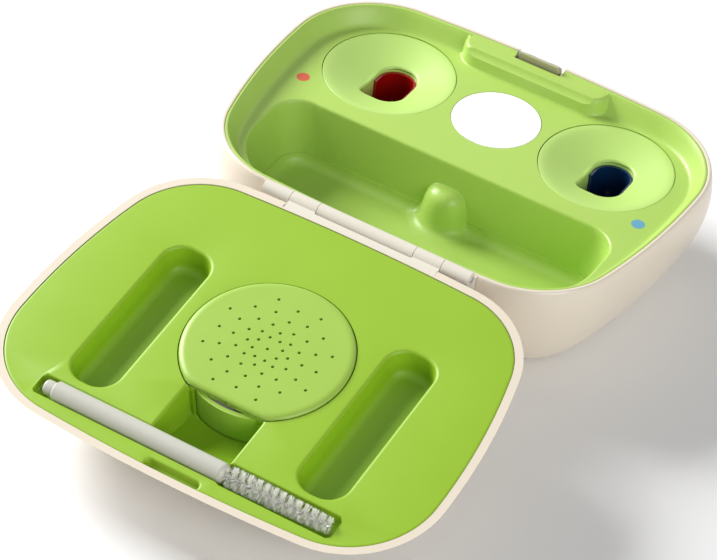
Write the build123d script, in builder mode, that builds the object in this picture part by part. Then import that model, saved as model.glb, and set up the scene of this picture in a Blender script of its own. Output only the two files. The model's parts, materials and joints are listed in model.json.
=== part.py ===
from build123d import *
from math import cos, sin, radians
import os

# Hearing aid charger: a hinged clamshell case, modelled with its lid laid open.
# Origin: centre of the underside, on the table. +X along the hinge, +Y towards the hinge, +Z up.
# All sizes are in millimetres.

# Case outline, at the edge where the green tray meets the shell
front_width = 116.2
back_width = 100.4
front_line = -41.1
back_line = 41.2
front_bow = 3.2
back_bow = 2.0
side_bow = 5.2
front_corner_radius = 25.0
back_corner_radius = 23.8

# Base shell
base_height = 32.0
pad_height = 0.8
lip = 1.0
belly = 2.0
belly_depth = 7.0
base_run = 12.5
base_roundness = 1.6
straight_share = 0.2
shell_sections = 11
wall = 1.8
shell_floor = 2.2
standoff_radius = 1.8
standoff_inset = 5.0

# Lid shell
lid_height = 17.0
lid_run = 22.0
lid_roundness = 1.8
lid_skin = 2.2
lid_lip = 2.08
lid_sections = 8
lid_hollow_start = 0.11

# Hinge
lid_open_angle = 189.7
hinge_y = 46.7
hinge_rise = 1.07
knuckle_radius = 2.0
pin_radius = 0.9
pin_clearance = 0.05
knuckle_ends = 30.0
knuckle_joint_outer = 22.0
knuckle_joint_inner = 14.0
knuckle_gap = 0.15
leaf_depth = 3.4
lid_leaf_depth = 1.3
leaf_edge = 0.15
turning_gap = 0.3
knuckle_web = 0.4
lid_knuckle_web = 1.0
pin_overhang = 0.3

# Base tray; fit is the play between fixed pieces
fit = 0.1
body_inset = 0.8
flange_drop = 0.2
flange_thickness = 1.2
flange_flat = 0.7
deck_drop = 5.4
deck_inset = 3.6
deck_thickness = 1.8
trough_depth = 24.0
trough_top_front = 2.4
trough_top_back = 39.4
trough_top_length = 101.4
trough_top_front_corner = 9.0
trough_top_back_corner = 20.0
trough_floor_front = 4.4
trough_floor_back = 33.4
trough_floor_length = 93.0
trough_floor_front_corner = 7.0
trough_floor_back_corner = 17.0
trough_wall = 1.4
trough_floor_fillet = 3.0
bulge_shift = 0.6
bulge_radius = 6.6
bulge_drop = 12.6
bulge_top_fillet = 3.0

# Latch block, catch, release button and spring
block_length = 43.2
block_face = -36.4
block_depth = 20.0
block_drop = 2.0
block_corner = 6.0
block_draft = 8.0
catch_length = 12.4
catch_front = -45.3
catch_back = -42.2
catch_height = 2.5
catch_gap = 0.9
catch_rest = 0.3
catch_corner = 0.8
latch_travel = 0.6
nose_thickness = 0.7
nose_rise = 1.1
nose_lip = 0.6
nose_lip_base = 0.6
hook_gap = 0.2
hook_depth = 1.2
arm_thickness = 1.3
arm_length = 10.0
button_length = 17.0
button_height = 6.5
button_drop = 10.5
button_face = -46.7
button_gap = 0.3
button_edge = 0.5
spring_span = 16.0
spring_rise = 3.6
spring_thickness = 0.35
spring_height = 3.0
rib_thickness = 1.2
rib_height = 6.5
rib_overhang = 1.5

# Charging inserts, liners, contacts
insert_x = 33.0
insert_y = -20.5
insert_radius = 18.0
insert_gap = 0.15
funnel_radius = 16.6
funnel_depth = 3.9
funnel_floor_radius = 5.6
funnel_bow = 0.45
insert_thickness = 1.5
shoulder_thickness = 1.9
insert_skirt = 4.6
skirt_thickness = 1.1
seat_wall = 1.5
seat_ledge = 2.2
slot_length = 15.8
slot_width = 11.2
slot_shift = -1.0
slot_round_corner = 5.2
slot_sharp_corner = 1.5
sleeve_wall = 1.2
sleeve_length = 10.0
liner_gap = 0.05
liner_wall = 0.8
liner_drop = 0.9
liner_length = 15.0
liner_floor = 1.0
window_depth = 8.0
window_width = 5.6
window_length = 8.5
contact_radius = 0.6
contact_spacing = 5.0
contact_rise = 1.5
contact_clearance = 0.3

# Centre disc, marker dots, pry marks
disc_radius = 12.0
disc_y = -20.4
disc_thickness = 0.9
disc_gap = 0.12
disc_edge = 0.2
dot_radius = 1.8
dot_thickness = 0.6
dot_x = 50.5
dot_y = -4.9
pry_length = 4.0
pry_width = 0.5
pry_depth = 1.0
pry_shift = 1.0
pry_offset = 14.9

# Electronics and fastenings in the base
board_length = 86.0
board_front = -26.0
board_back = 0.0
board_thickness = 1.2
board_clearance = 1.0
board_corner = 6.0
battery_length = 24.0
battery_width = 20.0
battery_height = 13.0
battery_y = -15.0
battery_corner = 2.0
inlet_y = -14.0
inlet_z = 14.0
inlet_width = 9.0
inlet_height = 3.3
inlet_depth = 8.0
inlet_wall = 0.35
inlet_gap = 0.3
inlet_recess = 2.19866
tongue_width = 6.6
tongue_thickness = 0.7
inlet_board_start = 9.7
inlet_board_width = 14.0
inlet_board_thickness = 1.0
inlet_setback = 3.8
light_x = 16.0
light_radius = 1.1
light_length = 6.0
light_gap = 0.05
light_recess = 0.3
back_screw_x = 22.0
back_screw_y = 19.0
front_screw_x = 13.0
front_screw_y = -28.8
screw_radius = 1.0
screw_head_radius = 2.0
screw_head_height = 0.9
screw_grip = 3.2
boss_radius = 2.5
pad_inset = 13.0
pad_seat = 0.4
pad_edge = 0.4

# Lid panel
panel_gap = 0.1
panel_thickness = 1.5
pocket_x = 32.2
pocket_width = 13.0
pocket_front = -29.8
pocket_back = 18.8
pocket_corner = 5.6
pocket_depth = 7.5
pocket_fillet = 2.5
pocket_edge = 0.5
tub_wall = 1.0
capsule_y = 0.8
cover_radius = 21.6
cover_flat = 18.4
cover_rise = 1.2
cover_sink = 1.4
cover_plate = 1.3
cover_wall = 2.4
cover_edge = 1.0
cup_radius = 20.2
cup_depth = 13.0
cup_wall = 1.2
cup_floor = 1.0
well_gap = 0.25
agent_depth = 9.0
pinhole_radius = 0.4
pinhole_arms = 8
pinhole_rings = 7
first_ring_radius = 3.7
ring_step = 2.02
notch_width = 21.6
notch_front_depth = 3.0
notch_back_depth = 10.5
notch_bow = 1.6
catch_slot_length = 15.0
catch_slot_back = -40.9
catch_slot_depth = 3.0

# Cleaning brush
brush_y = -35.5
brush_sink = 0.5
handle_radius = 2.6
handle_start = 24.6
handle_end = -12.0
handle_round = 1.4
cap_end = 36.8
cap_edge = 0.5
tip_radius = 1.9
tip_round = 0.8
brush_tip = 39.6
core_radius = 0.5
bristle_end = -40.6
bristle_root_radius = 2.9
bristle_tip_radius = 2.2
bristle_stations = 50
bristles_per_station = 8
bristle_side = 0.26
bristle_twist = 16.0
groove_gap = 0.35
groove_right = 42.0
groove_left = -41.9
groove_wall = 0.6

# A cut runs past the faces it goes through, and a boss or rib starts sunk in its wall
past = 1.0
sunk = 0.5
rim_cut = 6.0

handle_groove = handle_radius + groove_gap
bristle_groove = bristle_root_radius + groove_gap
deck_z = base_height - deck_drop
trough_floor_z = base_height - trough_depth
hinge_z = base_height + hinge_rise
screw_places = (
    (back_screw_x, back_screw_y),
    (-back_screw_x, back_screw_y),
    (front_screw_x, front_screw_y),
    (-front_screw_x, front_screw_y),
)


with BuildSketch() as case_edge:
    front_corner = (front_width / 2, front_line)
    back_corner = (back_width / 2, back_line)
    side_middle = ((front_corner[0] + back_corner[0]) / 2 + side_bow, (front_line + back_line) / 2)
    with BuildLine():
        ThreePointArc((-front_corner[0], front_line), (0, front_line - front_bow), front_corner)
        side = ThreePointArc(front_corner, side_middle, back_corner)
        ThreePointArc(back_corner, (0, back_line + back_bow), (-back_corner[0], back_line))
        mirror(side, about=Plane.YZ)
    make_face()
    fillet(case_edge.vertices().group_by(Axis.Y)[0], front_corner_radius)
    fillet(case_edge.vertices().group_by(Axis.Y)[-1], back_corner_radius)


def edge_outline(grow):
    """The case outline moved outwards by grow: each of its eight arcs swells about its own centre."""
    with BuildSketch() as face:
        with BuildLine():
            for arc in case_edge.edges():
                centre = arc.arc_center
                ThreePointArc(*[at + (at - centre).normalized() * grow for at in (arc @ 0, arc @ 0.5, arc @ 1)])
        make_face()
    return face.sketch


def base_profile(share):
    """Depth below the rim and growth over the outline at a share of the way down the base's side."""
    if share < straight_share:
        rise = 1 - share / straight_share
        return belly_depth * (1 - rise), belly - (belly - lip) * rise ** 2
    angle = radians(90 * (share - straight_share) / (1 - straight_share))
    return (
        belly_depth + (base_height - pad_height - belly_depth) * sin(angle) ** (2 / base_roundness),
        belly - base_run * (1 - max(cos(angle), 0) ** (2 / base_roundness)),
    )


def dome_height(share):
    """Height of the lid's dome above the rim at a share of its run inwards."""
    return lid_height * (1 - (1 - share) ** lid_roundness)


def rounded_slot(grow):
    """The charging slot: rounded towards the centre line, nearly square at one outer corner."""
    with BuildSketch() as face:
        with Locations((slot_shift, 0)):
            Rectangle(slot_width, slot_length)
        outer = face.vertices().group_by(Axis.X)[-1]
        inner = face.vertices().group_by(Axis.X)[0]
        sharp = outer.sort_by(Axis.Y)[-1]
        rounded = outer.sort_by(Axis.Y)[0]
        fillet([*inner, rounded], slot_round_corner)
        fillet(face.vertices().sort_by_distance(sharp)[0], slot_sharp_corner)
        if grow != 0:
            offset(amount=grow)
    return face.sketch


def trough_outline(share):
    """The storage trough in plan at a share of the way up its straight drafted walls."""
    length, front, back, front_corner, back_corner = [
        low + (high - low) * share
        for low, high in (
            (trough_floor_length, trough_top_length),
            (trough_floor_front, trough_top_front),
            (trough_floor_back, trough_top_back),
            (trough_floor_front_corner, trough_top_front_corner),
            (trough_floor_back_corner, trough_top_back_corner),
        )
    ]
    with BuildSketch() as face:
        with Locations((0, (front + back) / 2)):
            Rectangle(length, back - front)
        fillet(face.vertices().group_by(Axis.Y)[0], front_corner)
        fillet(face.vertices().group_by(Axis.Y)[-1], back_corner)
    return face.sketch


def capsule_outline(grow):
    """The drying capsule's cover in plan: a disc with a flat towards the finger notch."""
    with BuildSketch() as face:
        with Locations((0, capsule_y)):
            Circle(cover_radius + grow)
        with Locations((0, capsule_y - cover_flat - grow - cover_radius)):
            Rectangle(4 * cover_radius, 2 * cover_radius, mode=Mode.SUBTRACT)
    return face.sketch


# The lid is drawn closed, on a plane that is then turned open about the hinge
turn = radians(-lid_open_angle)
lid_plane = Plane(
    origin=(
        0,
        hinge_y - hinge_y * cos(turn) + hinge_rise * sin(turn),
        hinge_z - hinge_y * sin(turn) - hinge_rise * cos(turn),
    ),
    x_dir=(1, 0, 0),
    z_dir=(0, -sin(turn), cos(turn)),
)


def lid_section(x):
    """The plane across the lid at x: its own x runs front to back, its own y out of the lid."""
    return Plane(
        origin=lid_plane.from_local_coords((x, 0, 0)),
        x_dir=lid_plane.y_dir,
        z_dir=lid_plane.x_dir,
    )


def at_lid_height(edges, height):
    """The edges that lie at one height above the lid's rim plane."""
    return edges.filter_by(lambda edge: abs(lid_plane.to_local_coords(edge.center()).Z - height) < 0.01)


os.makedirs("parts", exist_ok=True)

# Base shell: a pebble-shaped bowl with a rebate for the tray and openings for latch, inlet and light
floor_z = pad_height + shell_floor
rebate = flange_drop + flange_thickness + fit
with BuildPart() as base_shell:
    for step in range(shell_sections):
        depth, growth = base_profile(step / (shell_sections - 1))
        with BuildSketch(Plane.XY.offset(base_height - depth)):
            add(edge_outline(growth))
    loft()
    # The hollow follows the same curve, drawn in by the wall and stopping at the floor
    squash = (base_height - floor_z) / (base_height - pad_height)
    for step in range(shell_sections):
        depth, growth = base_profile(step / (shell_sections - 1))
        with BuildSketch(Plane.XY.offset(base_height - depth * squash)):
            add(edge_outline(growth - wall))
    loft(mode=Mode.SUBTRACT)
    with BuildSketch(Plane.XY.offset(base_height - rebate)):
        add(edge_outline(0))
    extrude(amount=rebate + past, mode=Mode.SUBTRACT)
    # Notch in the rim for the latch catch
    with BuildSketch(Plane.XY.offset(base_height + past)):
        with Locations((0, (catch_front + catch_back) / 2)):
            Rectangle(catch_length + 2 * catch_gap, rim_cut)
    extrude(amount=-(past + catch_height + catch_rest), mode=Mode.SUBTRACT)
    # Recess in the back rim for the hinge leaf
    with BuildSketch(Plane.XY.offset(base_height + past)):
        with Locations((0, back_line + back_bow + fit + rim_cut / 2)):
            Rectangle(2 * knuckle_ends + 2 * fit, rim_cut)
    extrude(amount=-(past + leaf_depth + fit), mode=Mode.SUBTRACT)
    # Button opening, light pipe hole and power inlet
    with BuildSketch(Plane.XZ.offset(-button_face - rim_cut)):
        with Locations((0, base_height - button_drop)):
            SlotOverall(button_length + 2 * button_gap, button_height + 2 * button_gap)
        with Locations((light_x, base_height - button_drop)):
            Circle(light_radius)
    extrude(amount=2 * rim_cut, mode=Mode.SUBTRACT)
    with BuildSketch(Plane.YZ.offset(front_width / 2 - inlet_depth)):
        with Locations((inlet_y, inlet_z)):
            SlotOverall(inlet_width + 2 * inlet_gap, inlet_height + 2 * inlet_gap)
    extrude(amount=2 * inlet_depth, mode=Mode.SUBTRACT)
    # Standoffs for the circuit board
    board_z = floor_z + board_clearance
    standoff_length = board_length - 2 * standoff_inset
    standoff_width = board_back - board_front - 2 * standoff_inset
    with BuildSketch(Plane.XY.offset(floor_z - sunk)):
        with Locations((0, (board_front + board_back) / 2)):
            with GridLocations(standoff_length, standoff_width, 2, 2):
                Circle(standoff_radius)
    extrude(amount=board_clearance + sunk)
    # Seat for the rubber pad, and under it the screw holes with sunk heads
    with BuildSketch(Plane.XY):
        add(edge_outline(fit - pad_inset))
    extrude(amount=pad_height + pad_seat, mode=Mode.SUBTRACT)
    with Locations(Plane.XY.offset(pad_height + pad_seat)):
        with Locations(*screw_places):
            Cylinder(screw_radius + fit, 3 * shell_floor, mode=Mode.SUBTRACT)
            Cylinder(screw_head_radius + fit, 2 * screw_head_height + fit, mode=Mode.SUBTRACT)
base_shell.part.label = "base_shell"
export_step(base_shell.part, "parts/base_shell.step")

# Base tray: flange, sloping wall, deck, trough with its bulge, seats for inserts, latch block
tray_bottom = deck_z - deck_thickness
flange_z = base_height - flange_drop
with BuildPart() as base_tray:
    with BuildSketch(Plane.XY.offset(flange_z)):
        add(edge_outline(-fit))
    extrude(amount=-flange_thickness)
    with BuildSketch(Plane.XY.offset(flange_z)):
        add(edge_outline(-body_inset))
    extrude(amount=tray_bottom - flange_z)
    # Trough box, seat rings and screw bosses below the deck
    with BuildSketch(Plane.XY.offset(trough_floor_z - trough_wall)):
        add(trough_outline(0))
        offset(amount=trough_wall)
    with BuildSketch(Plane.XY.offset(tray_bottom)):
        add(trough_outline((tray_bottom - trough_floor_z) / trough_depth))
        offset(amount=trough_wall)
    loft(ruled=True)
    with BuildSketch(Plane.XY.offset(tray_bottom)):
        with Locations((insert_x, insert_y), (-insert_x, insert_y)):
            Circle(insert_radius + insert_gap + seat_wall)
    extrude(amount=deck_z - insert_skirt - seat_wall - tray_bottom)
    with BuildSketch(Plane.XY.offset(floor_z + fit)):
        with Locations(*screw_places[:2]):
            Circle(boss_radius)
    extrude(amount=trough_floor_z - trough_wall / 2 - floor_z - fit)
    with BuildSketch(Plane.XY.offset(floor_z + fit)):
        with Locations(*screw_places[2:]):
            Circle(boss_radius)
    extrude(amount=tray_bottom + sunk - floor_z - fit)
    # Sloping wall down to the deck
    with BuildSketch(Plane.XY.offset(flange_z)):
        add(edge_outline(-flange_flat))
    with BuildSketch(Plane.XY.offset(deck_z)):
        add(edge_outline(-deck_inset))
    loft(ruled=True, mode=Mode.SUBTRACT)
    # Latch block at the front, standing on the deck
    with BuildSketch(Plane.XY.offset(tray_bottom)) as block:
        with Locations((0, block_face - block_depth / 2)):
            Rectangle(block_length, block_depth)
        fillet(block.vertices().group_by(Axis.Y)[-1], block_corner)
        add(edge_outline(-body_inset), mode=Mode.INTERSECT)
    extrude(amount=base_height - block_drop - tray_bottom, taper=block_draft)
    # Trough space
    with BuildSketch(Plane.XY.offset(trough_floor_z)):
        add(trough_outline(0))
    with BuildSketch(Plane.XY.offset(base_height)):
        add(trough_outline(1))
    loft(ruled=True, mode=Mode.SUBTRACT)
    fillet(base_tray.edges().filter_by_position(Axis.Z, trough_floor_z - 0.01, trough_floor_z + 0.01),
           trough_floor_fillet)
    # Bulge on the trough's front wall
    with BuildSketch(Plane.XY.offset(trough_floor_z - trough_wall / 2)) as bulge:
        with Locations((0, trough_top_front + bulge_shift)):
            Circle(bulge_radius)
        with Locations((0, trough_top_front - bulge_radius)):
            Rectangle(3 * bulge_radius, 2 * bulge_radius, mode=Mode.SUBTRACT)
    extrude(amount=trough_depth - bulge_drop + trough_wall / 2)
    top_arc = base_tray.edges().filter_by(GeomType.CIRCLE).filter_by_position(
        Axis.Z, base_height - bulge_drop - 0.01, base_height - bulge_drop + 0.01)
    fillet(top_arc, bulge_top_fillet)
    # Seats for the inserts, with a ledge below, and for the disc and the dots
    with BuildSketch(Plane.XY.offset(deck_z)):
        with Locations((insert_x, insert_y), (-insert_x, insert_y)):
            Circle(insert_radius + insert_gap)
    extrude(amount=-insert_skirt, mode=Mode.SUBTRACT)
    with BuildSketch(Plane.XY.offset(deck_z)):
        with Locations((insert_x, insert_y), (-insert_x, insert_y)):
            Circle(insert_radius + insert_gap - seat_ledge)
    extrude(amount=-3 * insert_skirt, mode=Mode.SUBTRACT)
    with BuildSketch(Plane.XY.offset(deck_z)):
        with Locations((0, disc_y)):
            Circle(disc_radius + disc_gap)
    extrude(amount=-disc_thickness, mode=Mode.SUBTRACT)
    with BuildSketch(Plane.XY.offset(deck_z)):
        with Locations((dot_x, dot_y), (-dot_x, dot_y)):
            Circle(dot_radius)
    extrude(amount=-dot_thickness, mode=Mode.SUBTRACT)
    # Slot for the catch, the spring's rib and the screw pilots
    slot_back = catch_back + latch_travel + fit
    with BuildSketch(Plane.XY.offset(base_height)):
        with Locations((0, slot_back - rim_cut / 2)):
            Rectangle(catch_length + 2 * catch_gap, rim_cut)
    extrude(amount=-3 * deck_drop, mode=Mode.SUBTRACT)
    rib_y = catch_back + spring_rise + spring_thickness
    with BuildSketch(Plane.XY.offset(tray_bottom)):
        with Locations((0, rib_y + rib_thickness / 2)):
            Rectangle(spring_span + 2 * rib_overhang, rib_thickness)
    extrude(amount=-rib_height)
    with Locations(Plane.XY.offset(floor_z)):
        with Locations(*screw_places):
            Cylinder(screw_radius, 2 * screw_grip + sunk, mode=Mode.SUBTRACT)
base_tray.part.label = "base_tray"
export_step(base_tray.part, "parts/base_tray.step")

# Charging inserts: a dished funnel with a skirt, the slot and a sleeve under it
for side, x in (("right", insert_x), ("left", -insert_x)):
    with BuildPart() as insert:
        with BuildSketch(Plane(origin=(x, insert_y, deck_z), x_dir=(1, 0, 0), z_dir=(0, -1, 0))):
            with BuildLine():
                dish = SagittaArc((funnel_floor_radius, -funnel_depth), (funnel_radius, 0), -funnel_bow)
                Polyline(
                    dish @ 1,
                    (insert_radius, 0),
                    (insert_radius, -insert_skirt),
                    (insert_radius - skirt_thickness, -insert_skirt),
                    (insert_radius - skirt_thickness, -shoulder_thickness),
                    (funnel_floor_radius, -funnel_depth - insert_thickness),
                    (0, -funnel_depth - insert_thickness),
                    (0, -funnel_depth),
                    dish @ 0,
                )
            make_face()
        revolve(axis=Axis((x, insert_y, 0), (0, 0, 1)))
        with BuildSketch(Plane.XY.offset(deck_z - funnel_depth - insert_thickness / 2)):
            with Locations((x, insert_y)):
                add(rounded_slot(sleeve_wall))
        extrude(amount=-sleeve_length)
        with BuildSketch(Plane.XY.offset(deck_z)):
            with Locations((x, insert_y)):
                add(rounded_slot(0))
        extrude(amount=-deck_z, mode=Mode.SUBTRACT)
        # Pry mark in the dish, near its front edge
        with BuildSketch(Plane.XY.offset(deck_z)):
            with Locations((x + (pry_shift if x > 0 else -pry_shift), insert_y - pry_offset)):
                Rectangle(pry_length, pry_width)
        extrude(amount=-pry_depth, mode=Mode.SUBTRACT)
    insert.part.label = "insert_" + side
    export_step(insert.part, "parts/insert_" + side + ".step")

    # Liner: a cup in the slot, with a window on its outer side
    liner_top = deck_z - funnel_depth - liner_drop
    with BuildPart() as liner:
        with BuildSketch(Plane.XY.offset(liner_top)):
            with Locations((x, insert_y)):
                add(rounded_slot(-liner_gap))
        extrude(amount=-liner_length)
        with BuildSketch(Plane.XY.offset(liner_top)):
            with Locations((x, insert_y)):
                add(rounded_slot(-liner_gap - liner_wall))
        extrude(amount=liner_floor - liner_length, mode=Mode.SUBTRACT)
        with BuildSketch(Plane.XY.offset(liner_top)):
            with Locations((x + slot_width / 2, insert_y + slot_length / 4)):
                Rectangle(window_width, window_length)
        extrude(amount=-window_depth, mode=Mode.SUBTRACT)
        with BuildSketch(Plane.XY.offset(liner_top - liner_length)):
            with Locations((x + slot_shift, insert_y)):
                with GridLocations(0, contact_spacing, 1, 2):
                    Circle(contact_radius + contact_clearance)
        extrude(amount=liner_floor, mode=Mode.SUBTRACT)
    liner.part.label = "liner_" + side
    export_step(liner.part, "parts/liner_" + side + ".step")

    # Spring contacts rise from the circuit board through the liner's floor
    board_top = board_z + board_thickness
    contact_top = liner_top - liner_length + liner_floor + contact_rise
    with BuildPart() as contacts:
        with BuildSketch(Plane.XY.offset(board_top)):
            with Locations((x + slot_shift, insert_y)):
                with GridLocations(0, contact_spacing, 1, 2):
                    Circle(contact_radius)
        extrude(amount=contact_top - board_top)
        fillet(contacts.faces().sort_by(Axis.Z)[-2:].edges(), contact_radius / 2)
    contacts.part.label = "contacts_" + side
    export_step(contacts.part, "parts/contacts_" + side + ".step")

    # Marker dot inlaid in the deck
    with BuildPart() as dot:
        with BuildSketch(Plane.XY.offset(deck_z - dot_thickness)):
            with Locations((dot_x if x > 0 else -dot_x, dot_y)):
                Circle(dot_radius)
        extrude(amount=dot_thickness)
    dot.part.label = "marker_dot_" + side
    export_step(dot.part, "parts/marker_dot_" + side + ".step")

# Centre disc
with BuildPart() as centre_disc:
    with BuildSketch(Plane.XY.offset(deck_z - disc_thickness)):
        with Locations((0, disc_y)):
            Circle(disc_radius)
    extrude(amount=disc_thickness)
    fillet(centre_disc.edges().group_by(Axis.Z)[-1], disc_edge)
centre_disc.part.label = "centre_disc"
export_step(centre_disc.part, "parts/centre_disc.step")

# Latch catch: a bar in the rim's notch with a hooked nose, on an arm behind the wall
with BuildPart() as latch_catch:
    with BuildSketch(Plane.YZ):
        with BuildLine():
            Polyline(
                (catch_front, base_height - fit),
                (catch_back - nose_thickness, base_height - fit),
                (catch_back - nose_thickness, base_height + nose_lip_base),
                (catch_back - nose_thickness - nose_lip, base_height + nose_lip_base),
                (catch_back - nose_thickness, base_height + nose_rise),
                (catch_back, base_height + nose_rise),
                (catch_back, base_height - catch_height - arm_length),
                (catch_back - arm_thickness, base_height - catch_height - arm_length),
                (catch_back - arm_thickness, base_height - catch_height),
                (catch_front, base_height - catch_height),
                close=True,
            )
        make_face()
    extrude(amount=catch_length / 2, both=True)
    fillet(latch_catch.edges().filter_by(Axis.Z).group_by(Axis.Y)[0], catch_corner)
latch_catch.part.label = "latch_catch"
export_step(latch_catch.part, "parts/latch_catch.step")

# Release button on the front of the catch's arm
with BuildPart() as release_button:
    with BuildSketch(Plane.XZ.offset(arm_thickness - catch_back)):
        with Locations((0, base_height - button_drop)):
            SlotOverall(button_length, button_height)
    extrude(amount=catch_back - arm_thickness - button_face)
    fillet(release_button.faces().sort_by(Axis.Y)[0].edges(), button_edge)
release_button.part.label = "release_button"
export_step(release_button.part, "parts/release_button.step")

# Latch spring: a bowed steel strip between the arm and the tray's rib
with BuildPart() as latch_spring:
    with BuildSketch(Plane.XY.offset(base_height - button_drop - spring_height / 2)):
        with BuildLine():
            inner = ThreePointArc((-spring_span / 2, catch_back + spring_rise),
                                  (0, catch_back), (spring_span / 2, catch_back + spring_rise))
            outer = ThreePointArc((-spring_span / 2, catch_back + spring_rise + spring_thickness),
                                  (0, catch_back + spring_thickness),
                                  (spring_span / 2, catch_back + spring_rise + spring_thickness))
            Line(inner @ 0, outer @ 0)
            Line(inner @ 1, outer @ 1)
        make_face()
    extrude(amount=spring_height)
latch_spring.part.label = "latch_spring"
export_step(latch_spring.part, "parts/latch_spring.step")

# Circuit board, battery, power inlet with its board, and light pipe
with BuildPart() as circuit_board:
    with BuildSketch(Plane.XY.offset(board_z)) as board:
        with Locations((0, (board_front + board_back) / 2)):
            Rectangle(board_length, board_back - board_front)
        fillet(board.vertices(), board_corner)
    extrude(amount=board_thickness)
circuit_board.part.label = "circuit_board"
export_step(circuit_board.part, "parts/circuit_board.step")

with BuildPart() as battery:
    with BuildSketch(Plane.XY.offset(board_z + board_thickness)):
        with Locations((0, battery_y)):
            Rectangle(battery_length, battery_width)
    extrude(amount=battery_height)
    fillet(battery.edges().filter_by(Axis.Z), battery_corner)
battery.part.label = "battery"
export_step(battery.part, "parts/battery.step")

# The inlet stays at its depth behind the side wall, and the board reaches from the insert to it
inlet_share = (inlet_y - front_line) / (back_line - front_line)
inlet_outer_x = (front_width + (back_width - front_width) * inlet_share) / 2 + side_bow - inlet_recess
inlet_board_inner_x = insert_x + inlet_board_start
inlet_board_length = inlet_outer_x - inlet_setback - inlet_board_inner_x
with BuildPart() as power_inlet:
    with BuildSketch(Plane.YZ.offset(inlet_outer_x)):
        with Locations((inlet_y, inlet_z)):
            SlotOverall(inlet_width, inlet_height)
    extrude(amount=-inlet_depth)
    with BuildSketch(Plane.YZ.offset(inlet_outer_x)):
        with Locations((inlet_y, inlet_z)):
            SlotOverall(inlet_width - 2 * inlet_wall, inlet_height - 2 * inlet_wall)
            Rectangle(tongue_width, tongue_thickness, mode=Mode.SUBTRACT)
    extrude(amount=inlet_wall * 2 - inlet_depth, mode=Mode.SUBTRACT)
power_inlet.part.label = "power_inlet"
export_step(power_inlet.part, "parts/power_inlet.step")

with BuildPart() as inlet_board:
    with BuildSketch(Plane.XY.offset(inlet_z - inlet_height / 2)):
        with Locations((inlet_board_inner_x + inlet_board_length / 2, inlet_y)):
            Rectangle(inlet_board_length, inlet_board_width)
    extrude(amount=-inlet_board_thickness)
inlet_board.part.label = "inlet_board"
export_step(inlet_board.part, "parts/inlet_board.step")

light_face = front_line - front_bow - belly + light_recess
with BuildPart() as status_light:
    with BuildSketch(Plane.XZ.offset(-light_face)):
        with Locations((light_x, base_height - button_drop)):
            Circle(light_radius - light_gap)
    extrude(amount=-light_length)
status_light.part.label = "status_light"
export_step(status_light.part, "parts/status_light.step")

# Case screws and the rubber pad that covers them
with BuildPart() as case_screws:
    with BuildSketch(Plane.XY.offset(pad_height + pad_seat)):
        with Locations(*screw_places):
            Circle(screw_head_radius)
            RegularPolygon(screw_radius / 2, 6, mode=Mode.SUBTRACT)
    extrude(amount=screw_head_height)
    with BuildSketch(Plane.XY.offset(pad_height + pad_seat + screw_head_height / 2)):
        with Locations(*screw_places):
            Circle(screw_radius - fit / 2)
    extrude(amount=floor_z + screw_grip - pad_height - pad_seat - screw_head_height / 2)
case_screws.part.label = "case_screws"
export_step(case_screws.part, "parts/case_screws.step")

with BuildPart() as rubber_pad:
    with BuildSketch(Plane.XY):
        add(edge_outline(-pad_inset))
    extrude(amount=pad_height + pad_seat)
    chamfer(rubber_pad.edges().group_by(Axis.Z)[0], pad_edge)
rubber_pad.part.label = "rubber_pad"
export_step(rubber_pad.part, "parts/rubber_pad.step")

# Hinge: base leaf with three knuckles, lid leaf with two, and the pin
knuckle_runs = (
    (-knuckle_ends, -knuckle_joint_outer),
    (-knuckle_joint_inner, knuckle_joint_inner),
    (knuckle_joint_outer, knuckle_ends),
)
leaf_front = back_line + back_bow + 2 * fit
with BuildPart() as hinge_base_leaf:
    with BuildSketch(Plane.YZ.offset(-knuckle_ends)):
        with BuildLine():
            Polyline(
                (leaf_front, base_height - leaf_edge),
                (hinge_y - knuckle_radius - turning_gap, base_height - leaf_edge),
                (hinge_y - knuckle_radius - turning_gap, base_height - leaf_depth),
                (leaf_front, base_height - leaf_depth),
                close=True,
            )
        make_face()
    extrude(amount=2 * knuckle_ends)
    for low, high in knuckle_runs:
        with BuildSketch(Plane.YZ.offset(low + knuckle_gap / 2)):
            with Locations((hinge_y, hinge_z)):
                Circle(knuckle_radius)
            with BuildLine():
                Polyline(
                    (hinge_y - knuckle_radius - turning_gap - sunk, base_height - leaf_edge),
                    (hinge_y, hinge_z),
                    (hinge_y + knuckle_radius, hinge_z),
                    (hinge_y - knuckle_web, base_height - leaf_depth),
                    (hinge_y - knuckle_radius - turning_gap - sunk, base_height - leaf_depth),
                    close=True,
                )
            make_face()
            with Locations((hinge_y, hinge_z)):
                Circle(pin_radius, mode=Mode.SUBTRACT)
        extrude(amount=high - low - knuckle_gap)
hinge_base_leaf.part.label = "hinge_base_leaf"
export_step(hinge_base_leaf.part, "parts/hinge_base_leaf.step")

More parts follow.
